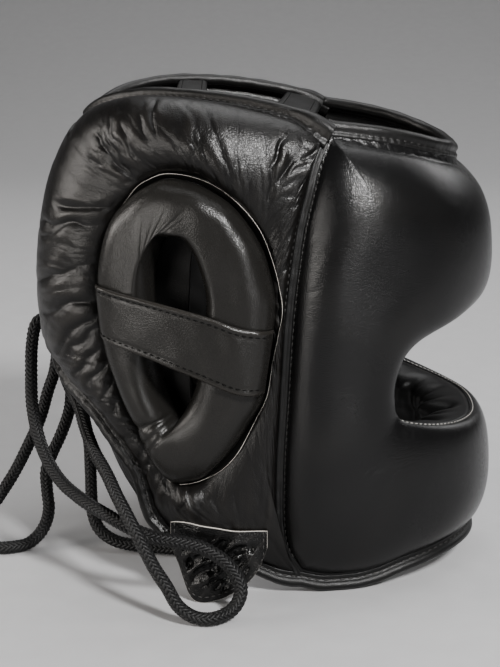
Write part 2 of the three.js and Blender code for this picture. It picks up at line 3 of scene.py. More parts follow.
import bpy
import numpy as np
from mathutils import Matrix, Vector


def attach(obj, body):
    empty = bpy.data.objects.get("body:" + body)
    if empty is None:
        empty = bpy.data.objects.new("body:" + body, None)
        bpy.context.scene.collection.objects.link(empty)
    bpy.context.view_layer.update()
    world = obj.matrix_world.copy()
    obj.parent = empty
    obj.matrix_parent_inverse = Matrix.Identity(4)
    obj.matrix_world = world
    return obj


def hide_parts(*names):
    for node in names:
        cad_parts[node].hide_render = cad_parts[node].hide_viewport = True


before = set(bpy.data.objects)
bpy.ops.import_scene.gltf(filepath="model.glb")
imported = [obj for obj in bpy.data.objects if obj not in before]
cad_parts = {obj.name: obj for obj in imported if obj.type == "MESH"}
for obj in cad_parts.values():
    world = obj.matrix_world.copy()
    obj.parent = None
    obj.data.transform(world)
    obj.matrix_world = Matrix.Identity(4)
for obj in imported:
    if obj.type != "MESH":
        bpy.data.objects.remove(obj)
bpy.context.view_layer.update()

# Camera, in metres and degrees: level distance from the point it looks at, its height and its lens.
IMAGE_SIZE = (500, 667)
LOOK_AT = (0.0, 0.012, 0.125)
CAMERA_AZIMUTH = -88.0
CAMERA_DISTANCE = 0.9
CAMERA_HEIGHT = 0.338
PIXELS_PER_METRE = 1700.0  # at the point it looks at
SENSOR_MM = 36.0

# Sewn form: z, half width, reach to the front and reach to the back, in metres.
FORM_AXIS_Y = 0.012
FORM_SQUARENESS = 2.35
FORM = np.array([
    (0.000, 0.088, 0.127, 0.098),
    (0.050, 0.091, 0.130, 0.103),
    (0.100, 0.092, 0.128, 0.106),
    (0.150, 0.092, 0.125, 0.108),
    (0.200, 0.089, 0.121, 0.106),
    (0.232, 0.084, 0.114, 0.101),
    (0.252, 0.075, 0.105, 0.092),
    (0.268, 0.058, 0.090, 0.076),
    (0.280, 0.036, 0.060, 0.050),
])
HALF, FRONT, BACK = 1, 2, 3
UP = np.array([0, 0, 1.0])
FORM_RADIUS = 0.1  # turns an angle round the form into a length along it
FORM_DEGREE = 0.00175  # length along the form of one degree

# Outlines on the form: theta in degrees from the front towards the wearer's right, and z.
SEAM_HALF_ANGLE = 1.3
FRONT_SEAM = np.array([
    (60, 0.248), (65, 0.235), (69, 0.217), (72, 0.197), (74.5, 0.170), (76, 0.144),
    (77, 0.111), (78, 0.077), (78, 0.045), (76.5, 0.027), (72, 0.013),
])
SEAM_OF_FRONT = FRONT_SEAM - (SEAM_HALF_ANGLE, 0)
SEAM_OF_SIDE = FRONT_SEAM + (SEAM_HALF_ANGLE, 0)
TOP_RIM_FRONT = np.array([
    (0, 0.2295), (20, 0.2345), (36, 0.2415), (48, 0.2455), SEAM_OF_FRONT[0],
])
BOTTOM_RIM_FRONT = np.array([
    (0, 0.020), (20, 0.021), (37, 0.017), (47, 0.012), (54, 0.010), (63, 0.010), SEAM_OF_FRONT[-1],
])
TOP_RIM_SIDE = np.array([
    SEAM_OF_SIDE[0], (68, 0.254), (88, 0.2605), (112, 0.264), (137, 0.2645), (156, 0.259), (168, 0.250),
])
REAR_EDGE = np.array([(168, 0.250), (168, 0.187), (168, 0.122)])
LOWER_RIM_REAR = np.array([
    (168, 0.122), (160, 0.118), (151, 0.1115), (144, 0.1065), (137.5, 0.099), (132.5, 0.0895),
    (127.5, 0.0795), (123.8, 0.0705), (121.8, 0.060), (120.5, 0.050), (118, 0.041), (110, 0.030),
    (98, 0.0275),
])
LOWER_RIM_JAW = np.array([(98, 0.0275), (89, 0.0225), (82, 0.0175), (78, 0.0148), SEAM_OF_SIDE[-1]])

# Edge of the face opening, half of it, and the groove round the ear ring: theta, z and the pad's bulge there.
BROW_EDGE = np.array([(0, 0.152, 0.0135), (15, 0.1505, 0.0135), (27, 0.147, 0.0135)])
CHEEK_EDGE = np.array([
    (36, 0.1405, 0.0135), (41.5, 0.1325, 0.013), (44.2, 0.121, 0.0125), (44.7, 0.109, 0.0125),
])
BAR_EDGE = np.array([
    (0, 0.085, 0.009), (11, 0.0855, 0.009), (23, 0.087, 0.0095), (35, 0.091, 0.011), (43, 0.097, 0.012),
])
GROOVE_TOP = np.array([
    (83.5, 0.195, 0.0045), (88, 0.208, 0.009), (96, 0.220, 0.0135), (106, 0.2285, 0.0145),
    (117, 0.229, 0.0125),
])
GROOVE_REAR = np.array([
    (125.5, 0.221, 0.0085), (132, 0.207, 0.0125), (134.2, 0.188, 0.015), (134, 0.166, 0.015),
])
GROOVE_LOWER = np.array([
    (132, 0.139, 0.0125), (127.5, 0.112, 0.011), (121.5, 0.089, 0.007), (114.5, 0.071, 0.005),
])
GROOVE_JAW = np.array([(108, 0.064, 0.0095), (100, 0.072, 0.008), (93, 0.087, 0.006)])
GROOVE_SEAM = np.array([
    (87.5, 0.102, 0.0045), (83.2, 0.121, 0.0035), (80.8, 0.141, 0.003), (80.6, 0.160, 0.003),
    (81.6, 0.180, 0.0035),
])
# Ear ring: its hole, its foot and the cut edge of its flange.
EAR_HOLE = np.array([
    (105.7, 0.189), (109, 0.1965), (113, 0.1975), (117, 0.196), (119.2, 0.185), (119.9, 0.1735),
    (119.2, 0.1555), (117.8, 0.132), (116.3, 0.118), (113.3, 0.106), (110.8, 0.099), (108.8, 0.105),
    (105.9, 0.116), (103.8, 0.130), (102.6, 0.149), (101.8, 0.165), (103, 0.1765),
])
EAR_FOOT = np.array([
    (83.7, 0.192), (92.2, 0.212), (102.7, 0.223), (112, 0.2268), (118, 0.2262), (125, 0.2195),
    (131.3, 0.207), (134.2, 0.188), (134.3, 0.166), (132.4, 0.139), (127.6, 0.112), (122.2, 0.090),
    (118.4, 0.074), (113.5, 0.0645), (107, 0.065), (101, 0.070), (92.6, 0.086), (87.6, 0.0995),
    (84, 0.110), (82.1, 0.1265), (80.5, 0.144), (79.6, 0.159), (79.9, 0.170),
])
EAR_FLANGE = np.array([
    (84.6, 0.202), (91.2, 0.2145), (99.3, 0.2235), (107.6, 0.228), (115.8, 0.229), (121.6, 0.2255),
    (125.5, 0.220), (130.0, 0.207), (132.2, 0.188), (132.3, 0.166), (130.4, 0.139), (125.6, 0.112),
    (120.5, 0.091), (117.5, 0.076), (113.5, 0.0652), (108.4, 0.0645), (99, 0.071), (92, 0.0825),
    (86.2, 0.101), (82.4, 0.1145), (80.9, 0.1305), (79, 0.147), (77.6, 0.160), (78.4, 0.171), (80.5, 0.1855),
])
# Middle line of the band across the ear ring: theta, z, height over the form, half width, slant of its ends.
EAR_STRAP = np.array([
    (132.4, 0.1585, 0.0140, 0.0135, -0.9), (130.4, 0.1578, 0.0196, 0.0138, -1.0),
    (127.0, 0.1565, 0.0220, 0.0142, -0.7), (116, 0.1515, 0.0226, 0.0150, 0),
    (102, 0.1435, 0.0226, 0.0168, 0.2), (92, 0.1370, 0.0226, 0.0172, 0.6),
    (85.3, 0.1350, 0.0198, 0.0170, 1.2), (81.8, 0.1344, 0.0116, 0.0166, 1.4),
])
# Tab at the lower end of a side pad: theta, then height and distance from the form of its two edges.
JAW_TAB = np.array([
    (113, 0.0432, 0.0111, 0.030, 0.0125), (110.5, 0.0440, 0.0112, 0.020, 0.0140),
    (107, 0.0438, 0.0110, 0.004, 0.0175), (103.5, 0.0430, 0.0118, 0.000, 0.0185),
    (98.5, 0.0417, 0.0110, 0.0015, 0.0180), (93, 0.0405, 0.0116, 0.006, 0.0170),
    (88, 0.0400, 0.0106, 0.012, 0.0155), (84.5, 0.0398, 0.0101, 0.020, 0.0135),
    (82, 0.0395, 0.0098, 0.031, 0.0120),
])

# Sizes and thicknesses, in metres.
TAB_HALF_THICK = 0.0005
GAP = 0.0004  # between pieces that are sewn together
EDGE_OUT = 0.0025  # half the thickness of a pad at its sewn edges
LINING_BULGE = 0.008
SIDE_INNER_BULGE = 0.006
LEATHER = 0.0024
TOP_ROLL = 0.0044
PIPING = 0.0024
BOTTOM_ROLL_HEIGHT = 0.0094
BOTTOM_ROLL_HALF = 0.005
REST_RIM = 0.010  # height of the rim where the bottom binding touches the floor
# Rear tongue: its ends in degrees and its other sizes in metres.
TONGUE = {
    "from": 153, "to": 207, "low": 0.121, "high": 0.244, "outer": -0.0099, "thick": 0.009, "quilt": 0.0006,
}
LACE_BARS = (0.1382, 0.168, 0.197, 0.226)  # heights
LACE_BAR_TUCK = 0.001
LACE_BAR_SAG = 0.0008
KNOT = (0.004, 0.127, 0.131)
KNOT_WRAPS = (-0.0045, 0.0035)

# Routes of the loose lace, the same as those of the CAD solids.
LACE_LOOP_NEAR = [
    (-0.0126, 0.129, 0.133), (-0.016, 0.1325, 0.1365), (-0.018, 0.136, 0.132), (-0.019, 0.138, 0.120),
    (-0.023, 0.138, 0.106), (-0.032, 0.1365, 0.090), (-0.043, 0.132, 0.076), (-0.056, 0.125, 0.065),
    (-0.072, 0.114, 0.056), (-0.088, 0.099, 0.0505), (-0.098, 0.086, 0.0467), (-0.107, 0.073, 0.043),
    (-0.112, 0.059, 0.0395), (-0.113, 0.045, 0.0375), (-0.114, 0.032, 0.034), (-0.116, 0.0215, 0.028),
    (-0.119, 0.0145, 0.0202), (-0.122, 0.0125, 0.0125), (-0.128, 0.017, 0.0056), (-0.136, 0.0265, 0.004),
    (-0.136, 0.0365, 0.0048), (-0.134, 0.045, 0.010), (-0.132, 0.051, 0.0197), (-0.128, 0.0585, 0.030),
    (-0.122, 0.0665, 0.0435), (-0.114, 0.073, 0.052), (-0.103, 0.080, 0.060), (-0.088, 0.087, 0.067),
    (-0.072, 0.095, 0.073), (-0.054, 0.1025, 0.081), (-0.038, 0.1085, 0.0905), (-0.022, 0.116, 0.097),
    (-0.012, 0.122, 0.108), (-0.0075, 0.126, 0.123),
]
LACE_LOOP_LEFT = [
    (0.0092, 0.127, 0.1225), (0.010, 0.128, 0.110), (0.010, 0.130, 0.098), (0.008, 0.134, 0.086),
    (0.006, 0.138, 0.072), (0.002, 0.1435, 0.059), (-0.002, 0.153, 0.040), (-0.006, 0.1625, 0.025),
    (-0.014, 0.171, 0.013), (-0.026, 0.173, 0.006), (-0.036, 0.167, 0.004), (-0.038, 0.158, 0.004),
    (-0.037, 0.1495, 0.0042), (-0.031, 0.141, 0.0046), (-0.022, 0.1345, 0.0095), (-0.013, 0.132, 0.018),
    (-0.008, 0.1335, 0.0295), (-0.006, 0.134, 0.041), (-0.003, 0.1305, 0.051), (0.001, 0.125, 0.063),
    (0.008, 0.121, 0.076), (0.015, 0.121, 0.089), (0.018, 0.123, 0.102), (0.0188, 0.1255, 0.113),
    (0.0182, 0.127, 0.124),
]
LACE_END = [
    (0.0009, 0.126, 0.1222), (0.001, 0.122, 0.112), (0.0015, 0.1175, 0.100), (0.001, 0.114, 0.087),
    (0.000, 0.111, 0.071), (-0.004, 0.108, 0.057), (-0.008, 0.107, 0.042), (-0.014, 0.106, 0.029),
    (-0.020, 0.1045, 0.019), (-0.026, 0.0995, 0.011), (-0.030, 0.090, 0.006), (-0.032, 0.079, 0.0044),
    (-0.034, 0.0665, 0.004), (-0.036, 0.053, 0.004),
]


class Socket:
    """An output of a node; arithmetic on it adds Math nodes."""

    def __init__(self, net, socket):
        self.net = net
        self.socket = socket

    def of(self, name):
        return Socket(self.net, self.socket.node.outputs[name])

    def math(self, operation, *values):
        return self.net.node("ShaderNodeMath", {"operation": operation}, dict(enumerate(values)))

    def __add__(self, other):
        return self.math("ADD", self, other)

    def __sub__(self, other):
        return self.math("SUBTRACT", self, other)

    def __mul__(self, other):
        return self.math("MULTIPLY", self, other)

    def __truediv__(self, other):
        return self.math("DIVIDE", self, other)


class Net:
    """Adds nodes to one tree: a node's type, its settings, and the values or links of its sockets."""

    def __init__(self, tree):
        self.tree = tree

    def node(self, kind, settings=None, inputs=None, out=0):
        made = self.tree.nodes.new(kind)
        for name, value in (settings or {}).items():
            setattr(made, name, value)
        for key, value in (inputs or {}).items():
            if isinstance(value, Socket):
                self.tree.links.new(value.socket, made.inputs[key])
            else:
                made.inputs[key].default_value = value
        return Socket(self, made.outputs[out]) if len(made.outputs) else made

    def mix_colour(self, factor, first, second):
        inputs = {0: factor, 6: first, 7: second}
        return self.node("ShaderNodeMix", {"data_type": "RGBA"}, inputs, out=2)

    def vector(self, operation, *values):
        return self.node("ShaderNodeVectorMath", {"operation": operation}, dict(enumerate(values)))

    def scaled(self, vector, factor):
        return self.node("ShaderNodeVectorMath", {"operation": "SCALE"}, {0: vector, "Scale": factor})

    def combined(self, *values):
        return self.node("ShaderNodeCombineXYZ", inputs=dict(enumerate(values)))

    def noise(self, spot, scale, detail, out=0):
        inputs = {"Vector": spot, "Scale": scale, "Detail": detail}
        return self.node("ShaderNodeTexNoise", inputs=inputs, out=out)

    def cracks(self, spot, scale):
        inputs = {"Vector": spot, "Scale": scale}
        return self.node("ShaderNodeTexVoronoi", {"feature": "DISTANCE_TO_EDGE"}, inputs, out="Distance")

    def attribute(self, name):
        return self.node("ShaderNodeAttribute", {"attribute_name": name}, out="Fac")

    def bump(self, strength, distance, height):
        inputs = {"Strength": strength, "Distance": distance, "Height": height}
        return self.node("ShaderNodeBump", inputs=inputs)

    def named_vector(self, name):
        return self.node("GeometryNodeInputNamedAttribute", {"data_type": "FLOAT_VECTOR"}, {"Name": name})

    def resampled(self, mesh, step):
        """The lines of a mesh as curves with points at even steps."""
        line = self.node("GeometryNodeMeshToCurve", inputs={"Mesh": mesh})
        return self.node("GeometryNodeResampleCurve", {"mode": "LENGTH"}, {"Curve": line, "Length": step})

    def circle(self, sides, radius):
        inputs = {"Resolution": sides, "Radius": radius}
        return self.node("GeometryNodeCurvePrimitiveCircle", {"mode": "RADIUS"}, inputs)

    def swept(self, line, profile):
        inputs = {"Curve": line, "Profile Curve": profile, "Fill Caps": True}
        return self.node("GeometryNodeCurveToMesh", inputs=inputs)


# Shape of the form.
def form_size(column, z):
    """A column of the form's table at heights z, by a smooth cubic between rows."""
    heights = FORM[:, 0]
    values = FORM[:, column]
    slopes = np.gradient(values)
    slopes[1:-1] = (values[2:] - values[:-2]) / (heights[2:] - heights[:-2])
    slopes[[0, -1]] = np.diff(values)[[0, -1]] / np.diff(heights)[[0, -1]]
    i = np.clip(np.searchsorted(heights, z, side="right") - 1, 0, len(heights) - 2)
    span = heights[i + 1] - heights[i]
    t = (z - heights[i]) / span
    rise = 3 * t**2 - 2 * t**3
    bend = slopes[i] * (t**3 - 2 * t**2 + t) + slopes[i + 1] * (t**3 - t**2)
    return values[i] * (1 - rise) + values[i + 1] * rise + span * bend


def form_point(theta, z):
    angle = np.radians(theta)
    reach = np.where(np.cos(angle) > 0, form_size(FRONT, z), form_size(BACK, z))
    across = np.abs(np.sin(angle)) / form_size(HALF, z)
    along = np.abs(np.cos(angle)) / reach
    r = (across**FORM_SQUARENESS + along**FORM_SQUARENESS) ** (-1 / FORM_SQUARENESS)
    return np.stack([-r * np.sin(angle), FORM_AXIS_Y - r * np.cos(angle), z + 0 * r], axis=-1)


def unit(vectors):
    return vectors / np.maximum(np.linalg.norm(vectors, axis=-1, keepdims=True), 1e-12)


def form_normal(theta, z, level=False):
    turn, lift = 0.5, 0.0005
    around = form_point(theta + turn, z) - form_point(theta - turn, z)
    up = form_point(theta, z + lift) - form_point(theta, z - lift)
    normal = np.cross(up, around)
    if level:
        normal[..., 2] = 0
    return unit(normal)


def place(theta, z, out, level=False):
    """Points at a distance out from the form."""
    return form_point(theta, z) + form_normal(theta, z, level) * np.asarray(out)[..., None]


def spline_at(points, t, closed=False):
    """Catmull-Rom curve through points; t counts them."""
    points = np.asarray(points, float)
    n = len(points)
    i = np.floor(t).astype(int) if closed else np.clip(np.floor(t).astype(int), 0, n - 2)
    w = (np.asarray(t) - i)[:, None]
    near = [(i + k) % n if closed else np.clip(i + k, 0, n - 1) for k in (-1, 0, 1, 2)]
    a, b, c, d = (points[k] for k in near)
    start, end = (c - a) / 2, (d - b) / 2
    return (2 * b - 2 * c + start + end) * w**3 + (3 * c - 3 * b - 2 * start - end) * w**2 + start * w + b


def even_along(points, shares, closed=False, measured=3):
    """Points at shares of a curve's length, which its first columns give."""
    steps = 40
    last = len(points) if closed else len(points) - 1
    fine = spline_at(points, np.linspace(0, last, steps * last + 1), closed)
    along = np.concatenate([[0], np.cumsum(np.linalg.norm(np.diff(fine[:, :measured], axis=0), axis=1))])
    at = np.asarray(shares) * along[-1]
    return np.stack([np.interp(at, along, column) for column in fine.T], axis=1)


def along_form(rows, shares, closed=False):
    """Rows of theta, z and more at shares of their length on the form."""
    scale = np.ones(np.shape(rows)[1])
    scale[0] = FORM_DEGREE
    return even_along(np.asarray(rows) * scale, shares, closed, measured=2) / scale


def spaced(rows, count):
    """Rows at even steps along their length."""
    return along_form(rows, np.linspace(0, 1, count))


def arc(theta):
    """Length along the form from its front."""
    return np.radians(theta) * FORM_RADIUS


def mirrored(rows):
    flipped = np.array(rows, float)
    flipped[:, 0] *= -1
    return flipped


def whole_from_half(rows):
    return np.concatenate([mirrored(rows)[::-1], rows[1:]])


def puff(t):
    """Section of a padded strip, from one sewn edge to the other."""
    flatness, fullness = 2.6, 2.2
    return np.maximum(1 - np.abs(2 * np.clip(t, 0, 1) - 1) ** flatness, 0) ** (1 / fullness)


def eased(count):
    return 0.5 - 0.5 * np.cos(np.linspace(0, np.pi, count + 1))


def smooth_step(low, high, x):
    t = np.clip((x - low) / (high - low), 0, 1)
    return t * t * (3 - 2 * t)


def bell(*offsets):
    return np.exp(-sum(offset**2 for offset in offsets))


def closed_row(upper, lower):
    """A closed section: one row of values and, backwards, the other without its ends."""
    return np.concatenate([upper, lower[-2:0:-1]])


def between(first, second, share):
    """Two columns of values at shares of the way from one edge to another."""
    return tuple(first[:, k : k + 1] + (second[:, k : k + 1] - first[:, k : k + 1]) * share for k in (0, 1))


def ripples(x, y, wavelength, seed, waves=9):
    """Soft noise from -1 to 1 with about one wavelength."""
    draw = np.random.default_rng(seed)
    total = np.zeros(np.broadcast(x, y).shape)
    for _ in range(waves):
        direction = draw.uniform(0, 2 * np.pi)
        number = 2 * np.pi / (wavelength * draw.uniform(0.7, 1.5))
        total += np.sin(number * (x * np.cos(direction) + y * np.sin(direction)) + draw.uniform(0, 2 * np.pi))
    return total / np.sqrt(waves * 0.5) / 1.6


# Meshes.
def grid_faces(rows, columns, wrap_rows=False, wrap_columns=False):
    i = np.arange(rows if wrap_rows else rows - 1)[:, None]
    j = np.arange(columns if wrap_columns else columns - 1)[None, :]
    next_i = (i + 1) % rows
    next_j = (j + 1) % columns
    corners = [i * columns + j, next_i * columns + j, next_i * columns + next_j, i * columns + next_j]
    return np.stack(np.broadcast_arrays(*corners), axis=-1).reshape(-1, 4)


def quad_volume(points, quads):
    a, b, c, d = (points[quads[:, k]] for k in range(4))
    return float((a * np.cross(b, c)).sum() + (a * np.cross(c, d)).sum())


def linked(name, data):
    """A new object in the scene."""
    made = bpy.data.objects.new(name, data)
    bpy.context.scene.collection.objects.link(made)
    return made


def new_piece(name, points, quads, material, caps=(), mirror=False, attributes=None):
    """A closed mesh object with its faces turned out."""
    points = np.asarray(points, float).reshape(-1, 3).copy()
    if mirror:
        points[:, 0] *= -1
    faces = [tuple(face) for face in quads.tolist()] + [tuple(cap) for cap in caps]
    if quad_volume(points, quads) < 0:
        faces = [face[::-1] for face in faces]
    mesh = bpy.data.meshes.new(name)
    mesh.from_pydata(points.tolist(), [], faces)
    mesh.shade_smooth()
    for key, values in (attributes or {}).items():
        layer = mesh.attributes.new(key, "FLOAT", "POINT")
        layer.data.foreach_set("value", np.ravel(values).astype(np.float32))
    mesh.materials.append(material)
    mesh.update()
    return linked(name, mesh)


def ring_piece(name, sections, material, **options):
    """A surface that closes both along and round its sections."""
    count, sides = sections.shape[:2]
    return new_piece(name, sections, grid_faces(count, sides, True, True), material, **options)


def tube_piece(name, sections, material, **options):
    """A surface along sections that is capped at both ends."""
    count, sides = sections.shape[:2]
    first = list(range(sides))
    last = [(count - 1) * sides + k for k in range(sides)]
    quads = grid_faces(count, sides, False, True)
    return new_piece(name, sections, quads, material, caps=(first, last[::-1]), **options)


def settle(piece, slot, *nodes):
    """Joins a piece to the one body and hides the CAD nodes that it stands for; its slot is not used."""
    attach(piece, "root")
    if nodes:
        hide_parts(*nodes)
    return piece


def sewn_ring(node, slot, sections, material, **options):
    """A ring-shaped piece that stands for one CAD node."""
    return settle(ring_piece(node + "_sewn", sections, material, **options), slot, node)


def sewn_tube(node, slot, sections, material, **options):
    """A capped piece that stands for one CAD node."""
    return settle(tube_piece(node + "_sewn", sections, material, **options), slot, node)


def two_faced(face, back):
    """Sections of a flat piece: its face and, turned round, its back."""
    return np.concatenate([face, back[:, ::-1]], axis=1)


# Finishes.
# Noise in leather: scale and detail.
LEATHER_NOISE = {"warp": (240.0, 2.0), "pores": (2200.0, 3.0), "clouds": (38.0, 4.0), "bend": (70.0, 3.0)}
GRAIN_WARP = (0.0011, 0.0011, 0.0011)
GRAIN_DEPTH = 0.0005
CREASE_WARP = (0.008, 0.008, 0.008)
CREASE_DRAW = (1.0, 0.6, 1.3)
CREASE_SCALE = 230.0
RAW_FIBRE = (0.50, 0.47, 0.43, 1.0)
LACE_DARK = (0.0015, 0.0015, 0.0016, 1.0)
LACE_LIGHT = (0.008, 0.008, 0.0083, 1.0)
FLOOR_DARK = (0.30, 0.30, 0.306, 1.0)
FLOOR_LIGHT = (0.345, 0.345, 0.351, 1.0)
DULL_SHINE = 0.22
FLOOR_SHINE = 0.2


def new_material(name):
    """A material, its net and the place on the object."""
    material = bpy.data.materials.new(name)
    material.use_nodes = True
    material.node_tree.nodes.clear()
    net = Net(material.node_tree)
    return material, net, net.node("ShaderNodeTexCoord", out="Object")


def finish_material(net, base, roughness, shine, bump=None):
    inputs = {"Specular IOR Level": shine, "Base Color": base, "Roughness": roughness}
    if bump is not None:
        inputs["Normal"] = bump
    shader = net.node("ShaderNodeBsdfPrincipled", inputs=inputs)
    net.node("ShaderNodeOutputMaterial", inputs={"Surface": shader})


def leather(kind, colour, wear_and_sheen_colour, gloss, grain, relief):
    """Black leather: fine cells, hairline creases, a lighter colour in faint clouds for wear and painted
    sheen, and pale fibre on raw cut edges.
    """
    material, net, spot = new_material("leather_" + kind)
    warp = net.noise(spot, *LEATHER_NOISE["warp"], "Color")
    cell = net.cracks(net.vector("MULTIPLY_ADD", warp, GRAIN_WARP, spot), grain)
    pores = net.noise(spot, *LEATHER_NOISE["pores"])
    clouds = net.noise(spot, *LEATHER_NOISE["clouds"])
    bend = net.noise(spot, *LEATHER_NOISE["bend"], "Color")
    bent = net.vector("MULTIPLY_ADD", bend, CREASE_WARP, spot)
    line = net.cracks(net.vector("MULTIPLY", bent, CREASE_DRAW), CREASE_SCALE)
    wear_and_sheen = net.attribute("wear_and_sheen")
    raw = net.attribute("raw")
    crinkle = net.attribute("crinkle")
    top = cell.math("MINIMUM", cell * 5.0, 1.0)
    smooth = line.math("MINIMUM", line * 7.0, 1.0)
    height = top * 0.65 + pores * 0.35 + smooth * crinkle * clouds * 1.6
    # Lighter colour for wear and painted sheen on ridges and edges.
    shade = cell.math("MINIMUM", wear_and_sheen * (clouds * 1.2 + 0.3), 1.0)
    skin = net.mix_colour(shade, (*colour, 1.0), (*wear_and_sheen_colour, 1.0))
    fibre = cell.math("MINIMUM", raw * (pores * 1.5 + 0.35), 1.0)
    base = net.mix_colour(fibre, skin, RAW_FIBRE)
    roughness = clouds * 0.16 + pores * 0.1 + (gloss - 0.13) - wear_and_sheen * 0.05 + raw * 0.3
    finish_material(net, base, roughness, DULL_SHINE, net.bump(relief, GRAIN_DEPTH, height))
    return material


def braid_material():
    """Black braided yarn with a dull sheen."""
    material, net, spot = new_material("lace_braid")
    fibre = net.noise(spot, 3200.0, 2.0)
    base = net.mix_colour(fibre, LACE_DARK, LACE_LIGHT)
    finish_material(net, base, fibre * 0.2 + 0.42, DULL_SHINE, net.bump(0.4, 0.0002, fibre))
    return material


def thread_material(name, colour, shine):
    material, net, spot = new_material(name)
    twist = net.noise(spot, 2600.0, 2.0)
    dark = tuple(0.45 * c for c in colour)
    base = net.mix_colour(twist, (*dark, 1.0), (*colour, 1.0))
    finish_material(net, base, twist * 0.2 + 0.45, shine, net.bump(0.3, 0.0001, twist))
    return material


def floor_material():
    material, net, spot = new_material("pale_floor")
    speck = net.noise(spot, 60.0, 5.0)
    finish_material(net, net.mix_colour(speck, FLOOR_DARK, FLOOR_LIGHT), speck * 0.2 + 0.55, FLOOR_SHINE)
    return material


# Leathers: colour, colour for wear and painted sheen, roughness, grain cells in a metre, and relief of the
# grain.
LEATHER_SMOOTH = leather("smooth", (0.003, 0.003, 0.0031), (0.009, 0.0085, 0.008), 0.25, 900.0, 0.17)
LEATHER_SOFT = leather("soft", (0.0022, 0.002, 0.0019), (0.010, 0.009, 0.008), 0.32, 850.0, 0.19)
# A lighter copy of the black leather: painted light on the ear rings and straps.
LEATHER_PAINTED_LIGHT = leather("painted_light", (0.0072, 0.0068, 0.0062), (0.018, 0.016, 0.014), 0.27, 900.0, 0.17)
LEATHER_LINING = leather("lining", (0.002, 0.002, 0.002), (0.009, 0.009, 0.009), 0.32, 800.0, 0.16)
LEATHER_EDGE = leather("edge", (0.003, 0.0029, 0.0028), (0.012, 0.0105, 0.009), 0.35, 900.0, 0.2)
LEATHER_SEAM = leather("seam", (0.002, 0.002, 0.002), (0.008, 0.0075, 0.007), 0.42, 800.0, 0.2)
LEATHER_TAB = leather("tab", (0.002, 0.002, 0.002), (0.009, 0.0085, 0.008), 0.2, 800.0, 0.2)
# Darker and duller than the lining: painted shade inside the ear holes.
LEATHER_PAINTED_SHADE = leather("inside", (0.001, 0.001, 0.001), (0.003, 0.003, 0.003), 0.6, 800.0, 0.2)
LACE = braid_material()
THREAD = thread_material("black_thread", (0.0016, 0.0016, 0.0016), 0.06)
SEAM_THREAD = thread_material("seam_thread", (0.022, 0.021, 0.02), 0.3)
PALE_THREAD = thread_material("pale_thread", (0.34, 0.33, 0.31), 0.3)


# Camera.
def aim(thing, spot, target):
    thing.location = spot
    thing.rotation_mode = "QUATERNION"
    thing.rotation_quaternion = Vector(np.subtract(target, spot)).to_track_quat("-Z", "Y")


def add_camera():
    azimuth = math.radians(CAMERA_AZIMUTH)
    away = np.array([math.sin(azimuth), -math.cos(azimuth), 0.0]) * CAMERA_DISTANCE
    spot = np.array(LOOK_AT) + away
    spot[2] = CAMERA_HEIGHT
    data = bpy.data.cameras.new("camera")
    data.sensor_width = SENSOR_MM
    data.lens = SENSOR_MM * PIXELS_PER_METRE * np.linalg.norm(LOOK_AT - spot) / max(IMAGE_SIZE)
    data.clip_end = 100.0
    camera = linked("camera", data)
    aim(camera, spot, LOOK_AT)
    bpy.context.scene.camera = camera


add_camera()


# Geometry node trees.
def new_tree(name, inputs):
    """A geometry tree with named inputs, and the sockets of its input node."""
    tree = bpy.data.node_groups.new(name, "GeometryNodeTree")
    tree.is_modifier = True
    tree.interface.new_socket("Geometry", in_out="INPUT", socket_type="NodeSocketGeometry")
    for label, kind in inputs.items():
        tree.interface.new_socket(label, in_out="INPUT", socket_type="NodeSocket" + kind)
    tree.interface.new_socket("Geometry", in_out="OUTPUT", socket_type="NodeSocketGeometry")
    net = Net(tree)
    return tree, net, net.node("NodeGroupInput")


def end_tree(net, shape, material):
    real = net.node("GeometryNodeRealizeInstances", inputs={0: shape})
    smooth = net.node("GeometryNodeSetShadeSmooth", inputs={"Geometry": real})
    dressed = net.node("GeometryNodeSetMaterial", inputs={"Geometry": smooth, "Material": material})
    net.node("NodeGroupOutput", inputs={0: dressed})


def grown(name, mesh, tree, values):
    """A plain mesh object of what a geometry tree makes from a mesh."""
    source = linked(name + "_source", mesh)
    modifier = source.modifiers.new("grow", "NODES")
    modifier.node_group = tree
    names = {item.name: item.identifier for item in tree.interface.items_tree if item.in_out == "INPUT"}
    for label, value in values.items():
        modifier[names[label]] = value
    bpy.context.view_layer.update()
    graph = bpy.context.evaluated_depsgraph_get()
    made = bpy.data.meshes.new_from_object(source.evaluated_get(graph))
    bpy.data.objects.remove(source)
    made.name = name
    return linked(name, made)


STRAND_SIDES = 5
CORE_SIDES = 8
CORE_SHARE = 0.9  # of the braid's radius
STITCH_VARIES = ((0.85, 0.85, 0.85), (1.1, 1.1, 1.1))  # smallest and largest scale of a stitch


